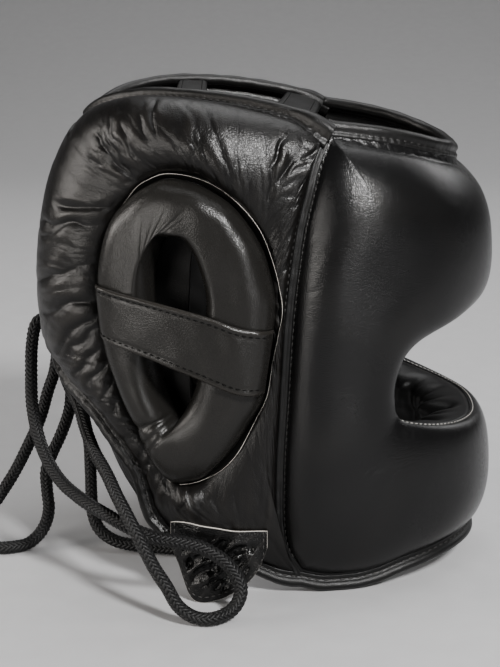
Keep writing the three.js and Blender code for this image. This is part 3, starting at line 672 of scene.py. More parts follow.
def braid_tree():
    """Two sets of flat strands that wind round a route both ways, two over and two under, on a dark core."""
    inputs = {
        "Radius": "Float", "Strands": "Int", "Lay": "Float", "Step": "Float",
        "Half Width": "Float", "Half Thickness": "Float", "Weave": "Float", "Material": "Material",
    }
    tree, net, group = new_tree("braid", inputs)
    line = net.resampled(group.of("Geometry"), group.of("Step"))
    size = net.combined(group.of("Half Thickness"), group.of("Half Width"), 1.0)
    flat = net.circle(STRAND_SIDES, 1.0)
    profile = net.node("GeometryNodeTransform", inputs={"Geometry": flat, "Scale": size})
    along = net.node("GeometryNodeSplineParameter", out="Length")
    strands = group.of("Strands") + 0.0
    shapes = []
    for way in (1, -1):
        inputs = {"Geometry": line, "Amount": group.of("Strands")}
        copies = net.node("GeometryNodeDuplicateElements", {"domain": "SPLINE"}, inputs)
        index = copies.of("Duplicate Index") + 0.0
        angle = (along / group.of("Lay") * way + index / strands) * (2 * math.pi)
        crossing = along / group.of("Lay") * strands * (2 * way)
        over = angle.math("COSINE", (index * 2.0 + crossing - 0.5) * (math.pi / 2)) * way
        radius = group.of("Radius") + over * group.of("Weave")
        tangent = net.node("GeometryNodeInputTangent")
        normal = net.node("GeometryNodeInputNormal")
        side = net.vector("CROSS_PRODUCT", tangent, normal)
        by_cosine = net.scaled(normal, angle.math("COSINE", angle))
        by_sine = net.scaled(side, angle.math("SINE", angle))
        radial = net.vector("ADD", by_cosine, by_sine)
        settings = {"data_type": "FLOAT_VECTOR", "domain": "POINT"}
        inputs = {"Geometry": copies, "Name": "radial", "Value": radial}
        kept = net.node("GeometryNodeStoreNamedAttribute", settings, inputs)
        inputs = {"Geometry": kept, "Offset": net.scaled(radial, radius)}
        moved = net.node("GeometryNodeSetPosition", inputs=inputs)
        inputs = {"Curve": moved, "Normal": net.named_vector("radial")}
        turned = net.node("GeometryNodeSetCurveNormal", {"mode": "FREE"}, inputs)
        shapes.append(net.swept(turned, profile))
    shapes.append(net.swept(line, net.circle(CORE_SIDES, group.of("Radius") * CORE_SHARE)))
    join = net.node("GeometryNodeJoinGeometry", inputs={0: shapes[0]})
    for shape in shapes[1:]:
        net.tree.links.new(shape.socket, join.socket.node.inputs[0])
    end_tree(net, join, group.of("Material"))
    return tree


def stitch_tree():
    """Small rounded stitches at even steps along lines, lying on the surface that `up` faces."""
    sizes = dict.fromkeys(("Pitch", "Length", "Half Width"), "Float")
    tree, net, group = new_tree("stitches", {**sizes, "Seed": "Int", "Material": "Material"})
    line = net.resampled(group.of("Geometry"), group.of("Pitch"))
    bead = net.node("GeometryNodeMeshUVSphere", inputs={"Segments": 6, "Rings": 4, "Radius": 1.0})
    size = net.combined(group.of("Length") * 0.5, group.of("Half Width"), group.of("Half Width"))
    bead = net.node("GeometryNodeTransform", inputs={"Geometry": bead, "Scale": size})
    align = "FunctionNodeAlignRotationToVector"
    turn = net.node(align, {"axis": "X"}, {"Vector": net.node("GeometryNodeInputTangent")})
    inputs = {"Rotation": turn, "Vector": net.named_vector("up")}
    turn = net.node(align, {"axis": "Z", "pivot_axis": "X"}, inputs)
    inputs = {"Min": STITCH_VARIES[0], "Max": STITCH_VARIES[1], "Seed": group.of("Seed")}
    wobble = net.node("FunctionNodeRandomValue", {"data_type": "FLOAT_VECTOR"}, inputs)
    inputs = {"Points": line, "Instance": bead, "Rotation": turn, "Scale": wobble}
    end_tree(net, net.node("GeometryNodeInstanceOnPoints", inputs=inputs), group.of("Material"))
    return tree


BRAID_TREE = braid_tree()
STITCH_TREE = stitch_tree()


def line_mesh(name, rows, ups=None):
    """Polylines as one mesh, with the outward direction of the surface under each point."""
    points = np.concatenate(rows)
    edges = []
    first = 0
    for row in rows:
        edges += [(first + k, first + k + 1) for k in range(len(row) - 1)]
        first += len(row)
    mesh = bpy.data.meshes.new(name)
    mesh.from_pydata(points.tolist(), edges, [])
    if ups is not None:
        layer = mesh.attributes.new("up", "FLOAT_VECTOR", "POINT")
        layer.data.foreach_set("vector", np.concatenate(ups).astype(np.float32).ravel())
    return mesh


# Lace.
BRAID = {
    "Radius": 0.0030, "Strands": 8, "Lay": 0.021, "Step": 0.0014,
    "Half Width": 0.00098, "Half Thickness": 0.00052, "Weave": 0.00036, "Material": LACE,
}


def route_line(route, step=0.002):
    """Closely spaced points along a given route."""
    rough = spline_at(route, np.linspace(0, len(route) - 1, 12 * len(route)))
    length = np.linalg.norm(np.diff(rough, axis=0), axis=1).sum()
    return even_along(route, np.linspace(0, 1, max(2, math.ceil(length / step) + 1)))


def braided(name, line):
    return grown(name, line_mesh(name + "_line", [line]), BRAID_TREE, BRAID)


def add_knot():
    """The knot of the bow: two wraps of the lace round the strands that it gathers."""
    turns = np.linspace(0, 2 * np.pi, 49)
    wraps = []
    sway, half_deep, half_high = 0.0012, 0.0052, 0.0062
    for x in KNOT_WRAPS:
        spots = (x + sway * np.sin(2 * turns), half_deep * np.cos(turns), half_high * np.sin(turns))
        wraps.append(np.stack(spots, axis=1) + KNOT)
    share = np.linspace(0, 1, 25)
    start, long = -0.0125, 0.024
    spots = (start + long * share, sway * np.sin(6 * share), 0.001 * np.cos(5 * share))
    wraps.append(np.stack(spots, axis=1) + KNOT)
    knot = grown("lace_knot_tied", line_mesh("knot_line", wraps), BRAID_TREE, BRAID)
    return settle(knot, "lace", "lace_knot")


def add_laces():
    knot = add_knot()
    rows = (
        ("lace_near_loop", "lace_loop_near", LACE_LOOP_NEAR, "object"),
        ("lace_left_loop", "lace_loop_left", LACE_LOOP_LEFT, "object"),
        ("lace_free_end", "lace_end", LACE_END, "bare"),
    )
    for name, node, route, far_end in rows:
        line = route_line(route)
        piece = settle(braided(name, line), "lace", node)
    for i, z in enumerate(LACE_BARS):
        seat = form_point(np.array([REAR_EDGE[0, 0]]), np.array([z]))[0]
        reach = abs(seat[0]) - 2 * PIPING + LACE_BAR_TUCK
        x = np.linspace(-reach, reach, 17)
        sag = LACE_BAR_SAG * (1 - (x / reach) ** 2)
        line = np.stack([x, seat[1] + 0 * x, z - sag], axis=1)
        settle(braided(f"rear_lace_{i + 1}", line), "lace", f"rear_lace_bar_{i + 1}")


add_laces()


# Pads.
def pair_edges(stretches):
    """Matches a ring pad's inner edge with its rim: columns edge theta, edge z, bulge, rim theta, rim z."""
    rows = np.concatenate([stretch[0] for stretch in stretches])
    first = 0
    pairs, margins = [], []
    for edge, rim, count, margin in stretches:
        share = np.arange(count) / count
        inner = spline_at(rows, first + len(edge) * share, closed=True)
        pairs.append(np.column_stack([inner, along_form(rim, share)]))
        margins.append(np.tile(margin, (count, 1)))
        first += len(edge)
    margin, soft = np.concatenate(margins).T
    return np.concatenate(pairs), smoothed(margin, fine_reach(len(margin))), smoothed(soft, 20)


def smoothed(values, reach):
    """A closed row of values, softened over a few neighbours."""
    shares = np.hanning(2 * reach + 3)[1:-1]
    wrapped = np.concatenate([values[-reach:], values, values[:reach]])
    return np.convolve(wrapped, shares / shares.sum(), mode="valid")


def fine_reach(count):
    return max(2, count // 21)


def rounded(grid, reach):
    """A grid that closes along its rows, softened along them so that no ridge starts at a corner."""
    return np.stack([smoothed(grid[:, k], reach) for k in range(grid.shape[1])], axis=1)


class RingPad:
    """A padded ring on the form: a grid of columns along it and steps across it, from edge to rim."""

    def __init__(self, stretches, steps):
        self.pairs, margin, self.soft = pair_edges(stretches)
        self.t = eased(steps)[None, :]
        middle = form_point(self.pairs[:, [0, 3]].mean(1), self.pairs[:, [1, 4]].mean(1))
        ends = form_point(self.pairs[:, 0], self.pairs[:, 1]) - form_point(self.pairs[:, 3], self.pairs[:, 4])
        hop = np.linalg.norm(middle - np.roll(middle, 1, axis=0), axis=1)
        self.s = np.cumsum(hop)[:, None]
        self.length = float(self.s[-1, 0])
        self.width = np.linalg.norm(ends, axis=1)[:, None]
        self.theta, self.z = self.at(self.t)
        self.x = arc(self.theta)
        self.y = self.t * self.width
        self.filled = self.t / (1 - margin[:, None] / self.width)
        self.bulge = self.pairs[:, 2:3]
        self.fill_up()

    def fill_up(self):
        self.body = rounded(self.swelling(np.minimum(self.filled, 1)), fine_reach(len(self.pairs)))

    def round_corners(self, rims, reach):
        """Lowers the pad where two of its rims meet, so that no ridge runs to the corner."""
        near = np.full((len(rims), *self.theta.shape), np.inf)
        spots = form_point(self.theta, self.z)
        for i, rim in enumerate(rims):
            row = spaced(rim, 140)
            line = form_point(row[:, 0], row[:, 1])
            for k in range(spots.shape[1]):
                near[i, :, k] = np.linalg.norm(spots[:, k, None] - line[None], axis=2).min(1)
        nearest = near.min(0)
        soft = nearest - reach * np.log(np.exp(-(near - nearest) / reach).sum(0))
        share = np.clip(soft, 0, None) / (nearest + 1e-6)
        self.filled = 1 - (1 - self.filled) * np.clip(share, 0, 1)
        self.fill_up()

    def swelling(self, t):
        """Share of the full bulge across the pad: quick at the edge, slower at a soft rim."""
        gentle = np.where(t < 0.5, puff(t), 1 - (2 * np.maximum(t, 0.5) - 1) ** 2)
        return puff(t) + (gentle - puff(t)) * self.soft[:, None]

    def at(self, t):
        return between(self.pairs[:, :2], self.pairs[:, 3:], t)

    def face(self, out):
        return place(self.theta, self.z, np.broadcast_to(out, self.theta.shape))

    def other_face(self, out, steps):
        """A plain face behind, from rim to edge."""
        theta, z = self.at(eased(steps)[None, ::-1])
        return place(theta, z, np.full(theta.shape, out))


def creased(x, z, rows):
    """Height of listed creases: each has two ends on the form, a half width and a depth."""
    total = np.zeros(np.broadcast(x, z).shape)
    wander, wavelength = 0.0013, 0.016
    bent_x = x + wander * ripples(x, z, wavelength, 5)
    bent_z = z + wander * ripples(x, z, wavelength, 6)
    for theta_a, z_a, theta_b, z_b, half, depth in rows:
        a = np.array([arc(theta_a), z_a])
        b = np.array([arc(theta_b), z_b])
        length = np.linalg.norm(b - a)
        way = (b - a) / length
        along = ((bent_x - a[0]) * way[0] + (bent_z - a[1]) * way[1]) / length
        across = ((bent_z - a[1]) * way[0] - (bent_x - a[0]) * way[1]) / half
        window = smooth_step(-0.15, 0.25, along) * smooth_step(1.15, 0.75, along)
        lips = bell((np.abs(across) - 2.6) / 1.7)
        total += depth * window * (0.3 * lips - np.exp(-1.1 * np.abs(across)))
    return total


def crinkled(pad, seed, count, size, slant=0.45):
    """Height of many small random wrinkles that run mostly across a ring pad, per metre of depth."""
    draw = np.random.default_rng(seed)
    total = np.zeros(pad.y.shape)
    for _ in range(count):
        s0 = draw.uniform(0, pad.length)
        y0 = draw.uniform(0, 1)
        angle = draw.normal(0, slant)
        length = size * draw.uniform(3, 9)
        half = size * draw.uniform(0.35, 1.0)
        depth = draw.uniform(0.3, 1.0)
        ds = (pad.s - s0 + pad.length / 2) % pad.length - pad.length / 2
        column = np.abs(ds[:, 0]) < 3 * length
        if not column.any():
            continue
        ds = ds[column]
        dy = pad.y[column] - y0 * pad.width[column]
        along = (dy * math.cos(angle) + ds * math.sin(angle)) / length
        across = (ds * math.cos(angle) - dy * math.sin(angle)) / half
        lips = bell((np.abs(across) - 2.2) / 1.4)
        total[column] += depth * bell(along) * (0.45 * lips - np.exp(-1.3 * np.abs(across)))
    return total


def wear_and_sheen_from(height, scale):
    """How much wear and painted sheen the skin gets: ridges of a height map."""
    return np.clip(height / scale, 0, 1)


def both_faces(values, back):
    """Values on the outer face, and none on the face behind."""
    outer = np.broadcast_to(values, (len(back), values.shape[1]))
    return np.concatenate([outer, np.zeros(back.shape[:2])], axis=1)


# Creases: theta and z of both ends, half width and depth.
FRONT_CREASES = [
    (71.6, 0.182, 65.2, 0.191, 0.0011, 0.0007), (72.7, 0.188, 64.7, 0.2015, 0.0012, 0.0007),
    (73.9, 0.167, 65.8, 0.176, 0.0011, 0.0008), (71.2, 0.197, 67.8, 0.206, 0.0011, 0.0006),
    (43.6, 0.095, 44.3, 0.075, 0.0008, 0.00035), (44.3, 0.075, 49.8, 0.0655, 0.0008, 0.00035),
    (41.5, 0.094, 42.0, 0.076, 0.0008, 0.0003), (46.5, 0.078, 53.0, 0.068, 0.0008, 0.0003),
    (39.5, 0.090, 38.6, 0.0815, 0.0008, 0.0003), (48.0, 0.081, 55.0, 0.071, 0.0008, 0.0003),
    (46.0, 0.071, 51.0, 0.061, 0.0008, 0.0003),
]


def front_stretches(fine):
    """The stretches of the front ring: inner edge, rim, columns and flat margin at the rim."""
    brow = whole_from_half(np.concatenate([BROW_EDGE, CHEEK_EDGE[:1]]))[:-1]
    bar = whole_from_half(BAR_EDGE)[::-1][:-1]
    cheek_up = mirrored(np.concatenate([BAR_EDGE[-1:], CHEEK_EDGE[:0:-1]]))
    return [
        (brow, whole_from_half(TOP_RIM_FRONT), 17 * fine, (0.0050, 0.6)),
        (CHEEK_EDGE, SEAM_OF_FRONT, 15 * fine, (0.0010, 0.15)),
        (bar, whole_from_half(BOTTOM_RIM_FRONT)[::-1], 17 * fine, (0.0012, 0.3)),
        (cheek_up, mirrored(SEAM_OF_FRONT)[::-1], 15 * fine, (0.0010, 0.15)),
    ]


FRONT_CORNER = 0.007  # over this length the corners of the front pad are rounded
TOP_STRIP = (0.208, 0.222)  # the gathered strip under the top binding starts between these heights
BAR_NOTCH = (46, 0.082)  # theta and z of the corner between cheek and bar
BAR_NOTCH_HALF = (7, 0.016)


def add_front():
    pad = RingPad(front_stretches(13), 60)
    top, bottom = whole_from_half(TOP_RIM_FRONT), whole_from_half(BOTTOM_RIM_FRONT)
    pad.round_corners([top, bottom, SEAM_OF_FRONT, mirrored(SEAM_OF_FRONT)], FRONT_CORNER)
    right = np.array(FRONT_CREASES)
    left = right * np.array([-1, 1, -1, 1, 1, 1])
    height = 0.4 * creased(pad.x, pad.z, np.concatenate([right, left]))
    height = height + 0.0005 * ripples(pad.x, pad.z, 0.05, 11)
    top_strip = smooth_step(*TOP_STRIP, pad.z) * smooth_step(0.97, 1.0, pad.filled)
    gathers = ripples(pad.s, 0.3 * pad.y, 0.0045, 12) + 0.5 * ripples(pad.s, pad.y, 0.003, 13)
    puffed = pad.bulge * pad.body + height * np.clip(1.5 * pad.body, 0, 1)
    outer = pad.face(EDGE_OUT + puffed + 0.00012 * gathers * top_strip)
    inner = pad.other_face(GAP / 2, 6)
    seam = smooth_step(0.86, 0.98, pad.t) * smooth_step(46, 56, np.abs(pad.theta))
    past_notch = np.abs(pad.theta) - BAR_NOTCH[0]
    notch = bell(past_notch / BAR_NOTCH_HALF[0], (pad.z - BAR_NOTCH[1]) / BAR_NOTCH_HALF[1])
    crinkle = both_faces(np.clip(0.6 * seam + 0.8 * notch + 0.3 * top_strip, 0, 1), inner)
    # Crease ridges get the lighter colour: partly wear, partly painted sheen.
    wear_and_sheen = both_faces(wear_and_sheen_from(height, 0.0009) * 0.5, inner)
    sections = np.concatenate([outer, inner], axis=1)
    attributes = {"wear_and_sheen": wear_and_sheen, "crinkle": crinkle}
    piece = sewn_ring("front_pad", "leather_smooth", sections, LEATHER_SMOOTH, attributes=attributes)
    return pad


def add_front_lining():
    """Lining of the front: it puffs up past the seam of the opening, in soft gathers."""
    pad = RingPad(front_stretches(10), 48)
    low = smooth_step(0.125, 0.1, pad.pairs[:, 1:2])
    plump = 0.85 + 0.3 * ripples(pad.s, 0 * pad.s, 0.03, 21)
    lip = (0.04 + 0.03 * low) * plump * np.sin(np.pi * np.clip(pad.t / 0.25, 0, 1))
    pad.theta, pad.z = pad.at(pad.t - lip)
    gathers = ripples(pad.s, 0.25 * pad.y, 0.02, 22) + 0.35 * ripples(pad.s, 0.3 * pad.y, 0.008, 23)
    height = 0.0019 * gathers * smooth_step(0.55, 0.08, pad.t)
    roll = 0.021 * low * plump * bell((pad.t - 0.14) / 0.15)
    inner = pad.face(-EDGE_OUT - (LINING_BULGE + height + roll) * puff(pad.t))
    sections = np.concatenate([inner, pad.other_face(-GAP / 2, 6)], axis=1)
    sewn_ring("front_lining", "leather_lining", sections, LEATHER_LINING)


SIDE_CREASES = [
    (124.1, 0.2575, 118.6, 0.244, 0.0013, 0.0011), (126.0, 0.250, 120.8, 0.242, 0.0012, 0.0008),
    (131.2, 0.249, 124.3, 0.2305, 0.0015, 0.0012), (136.6, 0.250, 127.7, 0.235, 0.0015, 0.0012),
    (136.2, 0.245, 125.1, 0.2255, 0.0017, 0.0018), (139.7, 0.243, 125.4, 0.225, 0.0018, 0.0020),
    (141.3, 0.2335, 134.9, 0.230, 0.0015, 0.0012), (163.8, 0.1955, 136.5, 0.2015, 0.0017, 0.0022),
    (153.1, 0.191, 143.1, 0.199, 0.0016, 0.0014), (148.6, 0.2085, 131.0, 0.211, 0.0017, 0.0016),
    (166.0, 0.158, 137.2, 0.1805, 0.0020, 0.0024), (158.1, 0.1445, 134.3, 0.1645, 0.0020, 0.0022),
    (148.2, 0.1295, 133.6, 0.157, 0.0019, 0.0024), (145.4, 0.126, 133.6, 0.1495, 0.0016, 0.0020),
    (141.0, 0.120, 134.6, 0.134, 0.0014, 0.0018), (137.2, 0.1145, 131.3, 0.130, 0.0013, 0.0016),
    (132.4, 0.1075, 130.1, 0.122, 0.0012, 0.0013), (128.3, 0.101, 128.9, 0.107, 0.0011, 0.0010),
    (107.0, 0.0605, 106.6, 0.055, 0.0010, 0.0010), (111.1, 0.051, 107.1, 0.057, 0.0011, 0.0010),
    (114.9, 0.066, 113.5, 0.060, 0.0010, 0.0009),
]
TEMPLE_CREASES = [
    (73.7, 0.2495, 80.7, 0.2335, 0.0014, 0.0022), (80.7, 0.2335, 81.9, 0.216, 0.0014, 0.0020),
    (63.5, 0.242, 72.2, 0.2365, 0.0014, 0.0026), (72.2, 0.2365, 80.2, 0.226, 0.0013, 0.0022),
    (65.0, 0.2395, 74.4, 0.2285, 0.0011, 0.0014), (71.6, 0.2475, 67.2, 0.243, 0.0010, 0.0012),
    (65.2, 0.2345, 72.5, 0.231, 0.0011, 0.0014), (67.2, 0.226, 77.5, 0.224, 0.0011, 0.0010),
    (69.0, 0.220, 79.7, 0.217, 0.0010, 0.0009), (70.7, 0.215, 76.1, 0.213, 0.0010, 0.0008),
]


def side_stretches(fine):
    return [
        (GROOVE_TOP, TOP_RIM_SIDE, 18 * fine, (0.0012, 0.15)),
        (GROOVE_REAR, REAR_EDGE, 12 * fine, (0.0012, 0.0)),
        (GROOVE_LOWER, LOWER_RIM_REAR, 14 * fine, (0.0012, 0.6)),
        (GROOVE_JAW, LOWER_RIM_JAW, 6 * fine, (0.0012, 0.2)),
        (GROOVE_SEAM, SEAM_OF_SIDE[::-1], 13 * fine, (0.0018, 0.5)),
    ]


POCKET = (109, 0.056)  # theta and z of the full spot below the ear ring
POCKET_HALF = (6, 0.009)
POCKET_HEIGHT = 0.0035
INNER_ROLL = 0.028  # how far the lining hangs past the lower rear rim
INNER_ROLL_START = 0.72
CLOTH_SCALE = 10.0  # cloth settles better at a larger size
CLOTH_FRAMES = 20
CLOTH_REACH = 0.0045  # a cover moves no further than this
CLOTH = {
    "quality": 6, "mass": 0.3, "tension_stiffness": 15.0, "compression_stiffness": 15.0,
    "shear_stiffness": 5.0, "bending_stiffness": 0.4, "use_pressure": True, "uniform_pressure_force": 1.0,
    "shrink_min": 0.0, "shrink_max": -0.25, "vertex_group_mass": "seams", "vertex_group_shrink": "slack",
}


def settled_cover(pad, face, slack):
    """How a sewn cover moves as cloth: blown out, held at its seams, with spare leather where it is slack."""
    quads = grid_faces(*face.shape[:2], True, False)
    points = face.reshape(-1, 3)
    side = np.cross(points[quads[:, 1]] - points[quads[:, 0]], points[quads[:, 3]] - points[quads[:, 0]])
    normal = form_normal(pad.theta, pad.z).reshape(-1, 3)
    if (side * normal[quads[:, 0]]).sum() < 0:
        quads = quads[:, ::-1]
    mesh = bpy.data.meshes.new("cover")
    mesh.from_pydata((points * CLOTH_SCALE).tolist(), [], quads.tolist())
    cover = linked("cover", mesh)
    scene = bpy.context.scene
    rim = (pad.t < 1e-6) | (pad.t > 1 - 1e-6)
    held = np.where(np.broadcast_to(rim, face.shape[:2]).ravel())[0]
    cover.vertex_groups.new(name="seams").add(held.tolist(), 1.0, "REPLACE")
    group = cover.vertex_groups.new(name="slack")
    for i, weight in enumerate(slack.ravel().tolist()):
        group.add([i], weight, "REPLACE")
    cloth = cover.modifiers.new("cloth", "CLOTH")
    for key, value in CLOTH.items():
        setattr(cloth.settings, key, value)
    cloth.settings.effector_weights.gravity = 0.0
    cloth.collision_settings.use_collision = False
    cloth.point_cache.frame_start = 1
    cloth.point_cache.frame_end = CLOTH_FRAMES
    for number in range(1, CLOTH_FRAMES + 1):
        scene.frame_set(number)
    settled = cover.evaluated_get(bpy.context.evaluated_depsgraph_get()).data
    spots = np.empty(points.size)
    settled.vertices.foreach_get("co", spots)
    bpy.data.objects.remove(cover)
    scene.frame_set(1)
    move = spots.reshape(face.shape) / CLOTH_SCALE - face
    far = np.linalg.norm(move, axis=-1, keepdims=True)
    return move * np.minimum(1, CLOTH_REACH / np.maximum(far, 1e-9))


def regridded(values, count, across):
    """A closed grid of vectors at another resolution."""
    rows, columns = values.shape[:2]
    long = spline_at(values.reshape(rows, -1), np.arange(count) * rows / count, closed=True)
    wide = np.swapaxes(long.reshape(count, columns, 3), 0, 1).reshape(columns, -1)
    made = spline_at(wide, np.linspace(0, columns - 1, across))
    return np.swapaxes(made.reshape(across, count, 3), 0, 1)


def side_folds(pad):
    """Listed folds of a side pad and small wrinkles, as a height."""
    folds = 0.9 * creased(pad.x, pad.z, SIDE_CREASES) + 0.6 * creased(pad.x, pad.z, TEMPLE_CREASES)
    folds = folds + 0.0003 * crinkled(pad, 40, 420, 0.0026)
    calm = smooth_step(1.0, 0.75, pad.t) * smooth_step(166, 144, pad.theta)
    return folds * np.clip(1.6 * pad.body, 0, 1) * calm


def side_out(pad, height):
    """How far a side pad's cover stands out, with its full spot below the ear ring."""
    spot = bell((pad.theta - POCKET[0]) / POCKET_HALF[0], (pad.z - POCKET[1]) / POCKET_HALF[1])
    pocket = POCKET_HEIGHT * spot * np.clip(1.6 * pad.body, 0, 1)
    return EDGE_OUT + pad.bulge * pad.body + height + pocket


def side_slack(pad):
    rear = smooth_step(112, 135, pad.theta) * smooth_step(172, 146, pad.theta)
    temple = smooth_step(88, 78, pad.theta) * smooth_step(0.19, 0.215, pad.z)
    return np.clip(0.1 + rear + temple, 0, 1)


def side_cover_moves():
    pad = RingPad(side_stretches(7), 36)
    return settled_cover(pad, pad.face(side_out(pad, side_folds(pad))), side_slack(pad))


def side_lining(pad):
    """Inner face of a side pad: it hangs in a roll past the lower rear rim."""
    rear = smooth_step(0.125, 0.115, pad.pairs[:, 4]) * smooth_step(116, 122, pad.pairs[:, 3])
    t = eased(16)[None, ::-1]
    hang = np.sin(np.pi * np.clip((t - INNER_ROLL_START) / (1 - INNER_ROLL_START), 0, 1))
    droop = smoothed(rear, 12)[:, None] * INNER_ROLL / pad.width * hang
    sunk = SIDE_INNER_BULGE * puff(t) + 0.004 * (droop > 0) * np.sin(np.pi * t)
    return place(*pad.at(t + droop), -EDGE_OUT - sunk)


def add_side_pad(suffix, left, moves):
    pad = RingPad(side_stretches(12), 64)
    small = 0.0001 * crinkled(pad, 44 + left, 600, 0.0016) * np.clip(pad.body, 0, 1)
    height = side_folds(pad) + small
    outer = pad.face(side_out(pad, height)) + regridded(moves, *pad.theta.shape)
    inner = side_lining(pad)
    temple = smooth_step(90, 79, pad.theta) * smooth_step(0.15, 0.2, pad.z)
    crinkle = np.clip(0.05 + 0.35 * side_slack(pad) + 0.5 * temple, 0, 1)
    # Fold ridges get the lighter colour: partly wear, partly painted sheen.
    wear_and_sheen = wear_and_sheen_from(height, 0.0012)
    sections = np.concatenate([outer, inner], axis=1)
    attributes = {"wear_and_sheen": both_faces(wear_and_sheen, inner), "crinkle": both_faces(crinkle, inner)}
    node = f"side_pad_{suffix}"
    piece = sewn_ring(node, "leather_soft", sections, LEATHER_SOFT, mirror=left, attributes=attributes)


# Ear rings.
EAR_COUNT = 320
EAR_RING_BASE = -0.004
EAR_RING_EDGE = 0.004
EAR_RING_HEIGHT = 0.024
FLANGE_FOOT = 0.0035
FLANGE_OUT = 0.0070
FLANGE_THICK = 0.0005
STRAP_SEAMS = (-0.8, 0.8)  # the two rows of stitches, in shares of the half width

# Pleats of the ring's cover: where they start on the hole, depth, half width, lean and reach, in shares.
EAR_PLEATS = (
    ((115.0, 0.197), 0.0003, 0.004, 0.0, 0.6), ((116.6, 0.1962), 0.0005, 0.004, 0.0, 0.8),
    ((117.6, 0.194), 0.0003, 0.003, 0.0, 0.6), ((118.2, 0.190), 0.0005, 0.004, 0.0, 0.8),
    ((118.9, 0.186), 0.0003, 0.004, 0.0, 0.7), ((119.3, 0.181), 0.0004, 0.004, 0.0, 0.7),
    ((112.6, 0.1035), 0.0030, 0.006, -0.01, 2.0), ((111.9, 0.1015), 0.0016, 0.004, 0.004, 2.0),
    ((111.3, 0.1000), 0.0014, 0.004, 0.016, 2.0),
)


def ear_outlines():
    """The ring's hole, its foot and the cut edge of the flange round it, as theta and z."""
    share = np.arange(EAR_COUNT) / EAR_COUNT
    return [along_form(rows, share, closed=True) for rows in (EAR_HOLE, EAR_FOOT, EAR_FLANGE)]


def ring_crown(t, low):
    """Section of an ear ring: steep inner wall, flat face and round shoulder; a roll at its low end."""
    wall_end, face_end = 0.17, 0.5
    wall = (1 - (1 - np.clip(t / wall_end, 0, 1)) ** 2.4) ** (1 / 2.4)
    shoulder = (1 - np.clip((t - face_end) / (1 - face_end), 0, 1) ** 3.2) ** (1 / 2.0)
    roll = (1 - np.abs(2 * t - 1) ** 2.3) ** (1 / 2.1)
    return wall * shoulder + (roll - wall * shoulder) * low


def add_ear_lining(suffix, left):
    """Lining that closes the rear part of the ear hole from inside; its extra-dark leather is painted shade.
    """
    low, high = 0.086, 0.206
    z = np.linspace(low, high, 50)[:, None]
    share = np.linspace(0, 1, 24)[None, :]
    start, sway, span = 107.6, 1.5, 19.0
    sunk, hollow, uneven = -0.0075, 0.003, 0.0004
    theta = start + sway * np.sin((z - low) * 26) + span * share
    depth = sunk - hollow * np.sqrt(share) + uneven * ripples(arc(theta), z, 0.02, 77)
    face = place(theta, z + 0 * share, depth)
    back = place(theta, z + 0 * share, depth - 0.002 - 0.002 * puff(share))
    piece = tube_piece(f"ear_lining_{suffix}", two_faced(face, back), LEATHER_PAINTED_SHADE, mirror=left)
    settle(piece, "leather_lining")


def add_ear_ring(suffix, left):
    hole, rim, flange = ear_outlines()
    t = eased(40)[None, :]
    theta, z = between(hole, rim, t)
    crown = ring_crown(t, 0.85 * smooth_step(0.158, 0.118, z))
    lift = EAR_RING_BASE + EAR_RING_EDGE + (EAR_RING_HEIGHT - EAR_RING_EDGE) * crown
    around = np.arange(EAR_COUNT)[:, None] / EAR_COUNT
    soft = 0.00025 * ripples(arc(theta), z, 0.02, 61 + left)
    pleats = np.zeros(theta.shape)
    for spot, depth, half, lean, long in EAR_PLEATS:
        near = np.argmin(np.linalg.norm((hole - spot) * (FORM_DEGREE, 1), axis=1)) / EAR_COUNT
        away = np.abs((around - near - lean * t + 0.5) % 1 - 0.5) / half
        pleats -= depth * np.exp(-away) * smooth_step(long, 0.3 * long, t)
    outer = place(theta, z, lift + (pleats + soft) * np.clip(2 * crown, 0, 1))
    back = between(hole, rim, eased(2)[None, ::-1])
    inner = place(*back, np.full(back[0].shape, EAR_RING_BASE))
    sections = np.concatenate([outer, inner], axis=1)
    # The ring's lighter leather is painted light.
    piece = sewn_ring(f"ear_ring_{suffix}", "leather_smooth", sections, LEATHER_PAINTED_LIGHT, mirror=left)
    add_flange(suffix, left, rim, flange)
    add_ear_lining(suffix, left)


def add_flange(suffix, left, rim, flange):
    """Thin leather edge of the ear ring's cover, cut by hand, with its pale raw edge out."""
    wave = 0.0006 * ripples(np.arange(EAR_COUNT) * 0.0015, np.zeros(EAR_COUNT), 0.02, 71)
    low = place(rim[:, 0], rim[:, 1], np.full(EAR_COUNT, FLANGE_FOOT))
    high = place(flange[:, 0], flange[:, 1], FLANGE_OUT + wave)
    thick = form_normal(flange[:, 0], flange[:, 1]) * FLANGE_THICK
    near = low + 0.93 * (high - low)
    rows = [low, near, high, high + thick, near + thick, low + thick]
    raw = np.zeros((EAR_COUNT, 6))
    raw[:, 2:4] = 0.5 + 0.5 * smooth_step(128, 118, flange[:, :1])
    piece = ring_piece(
        f"ear_flange_{suffix}", np.stack(rows, axis=1), LEATHER_EDGE, mirror=left, attributes={"raw": raw}
    )
    settle(piece, "leather_edge")


def strap_section():
    """Section of a folded leather band: shares across it and heights, with round, thicker edges."""
    fold = 0.0005
    across = np.sin(np.linspace(-np.pi / 2, np.pi / 2, 25))
    edge = np.abs(across)
    height = 0.5 * LEATHER * np.clip(1 - edge**14, 0, 1) ** 0.5
    height = height + fold * bell((edge - 0.9) / 0.06) - fold * bell((edge - 0.78) / 0.03)
    height[[0, -1]] = 0
    return closed_row(across, across), closed_row(height, -height)


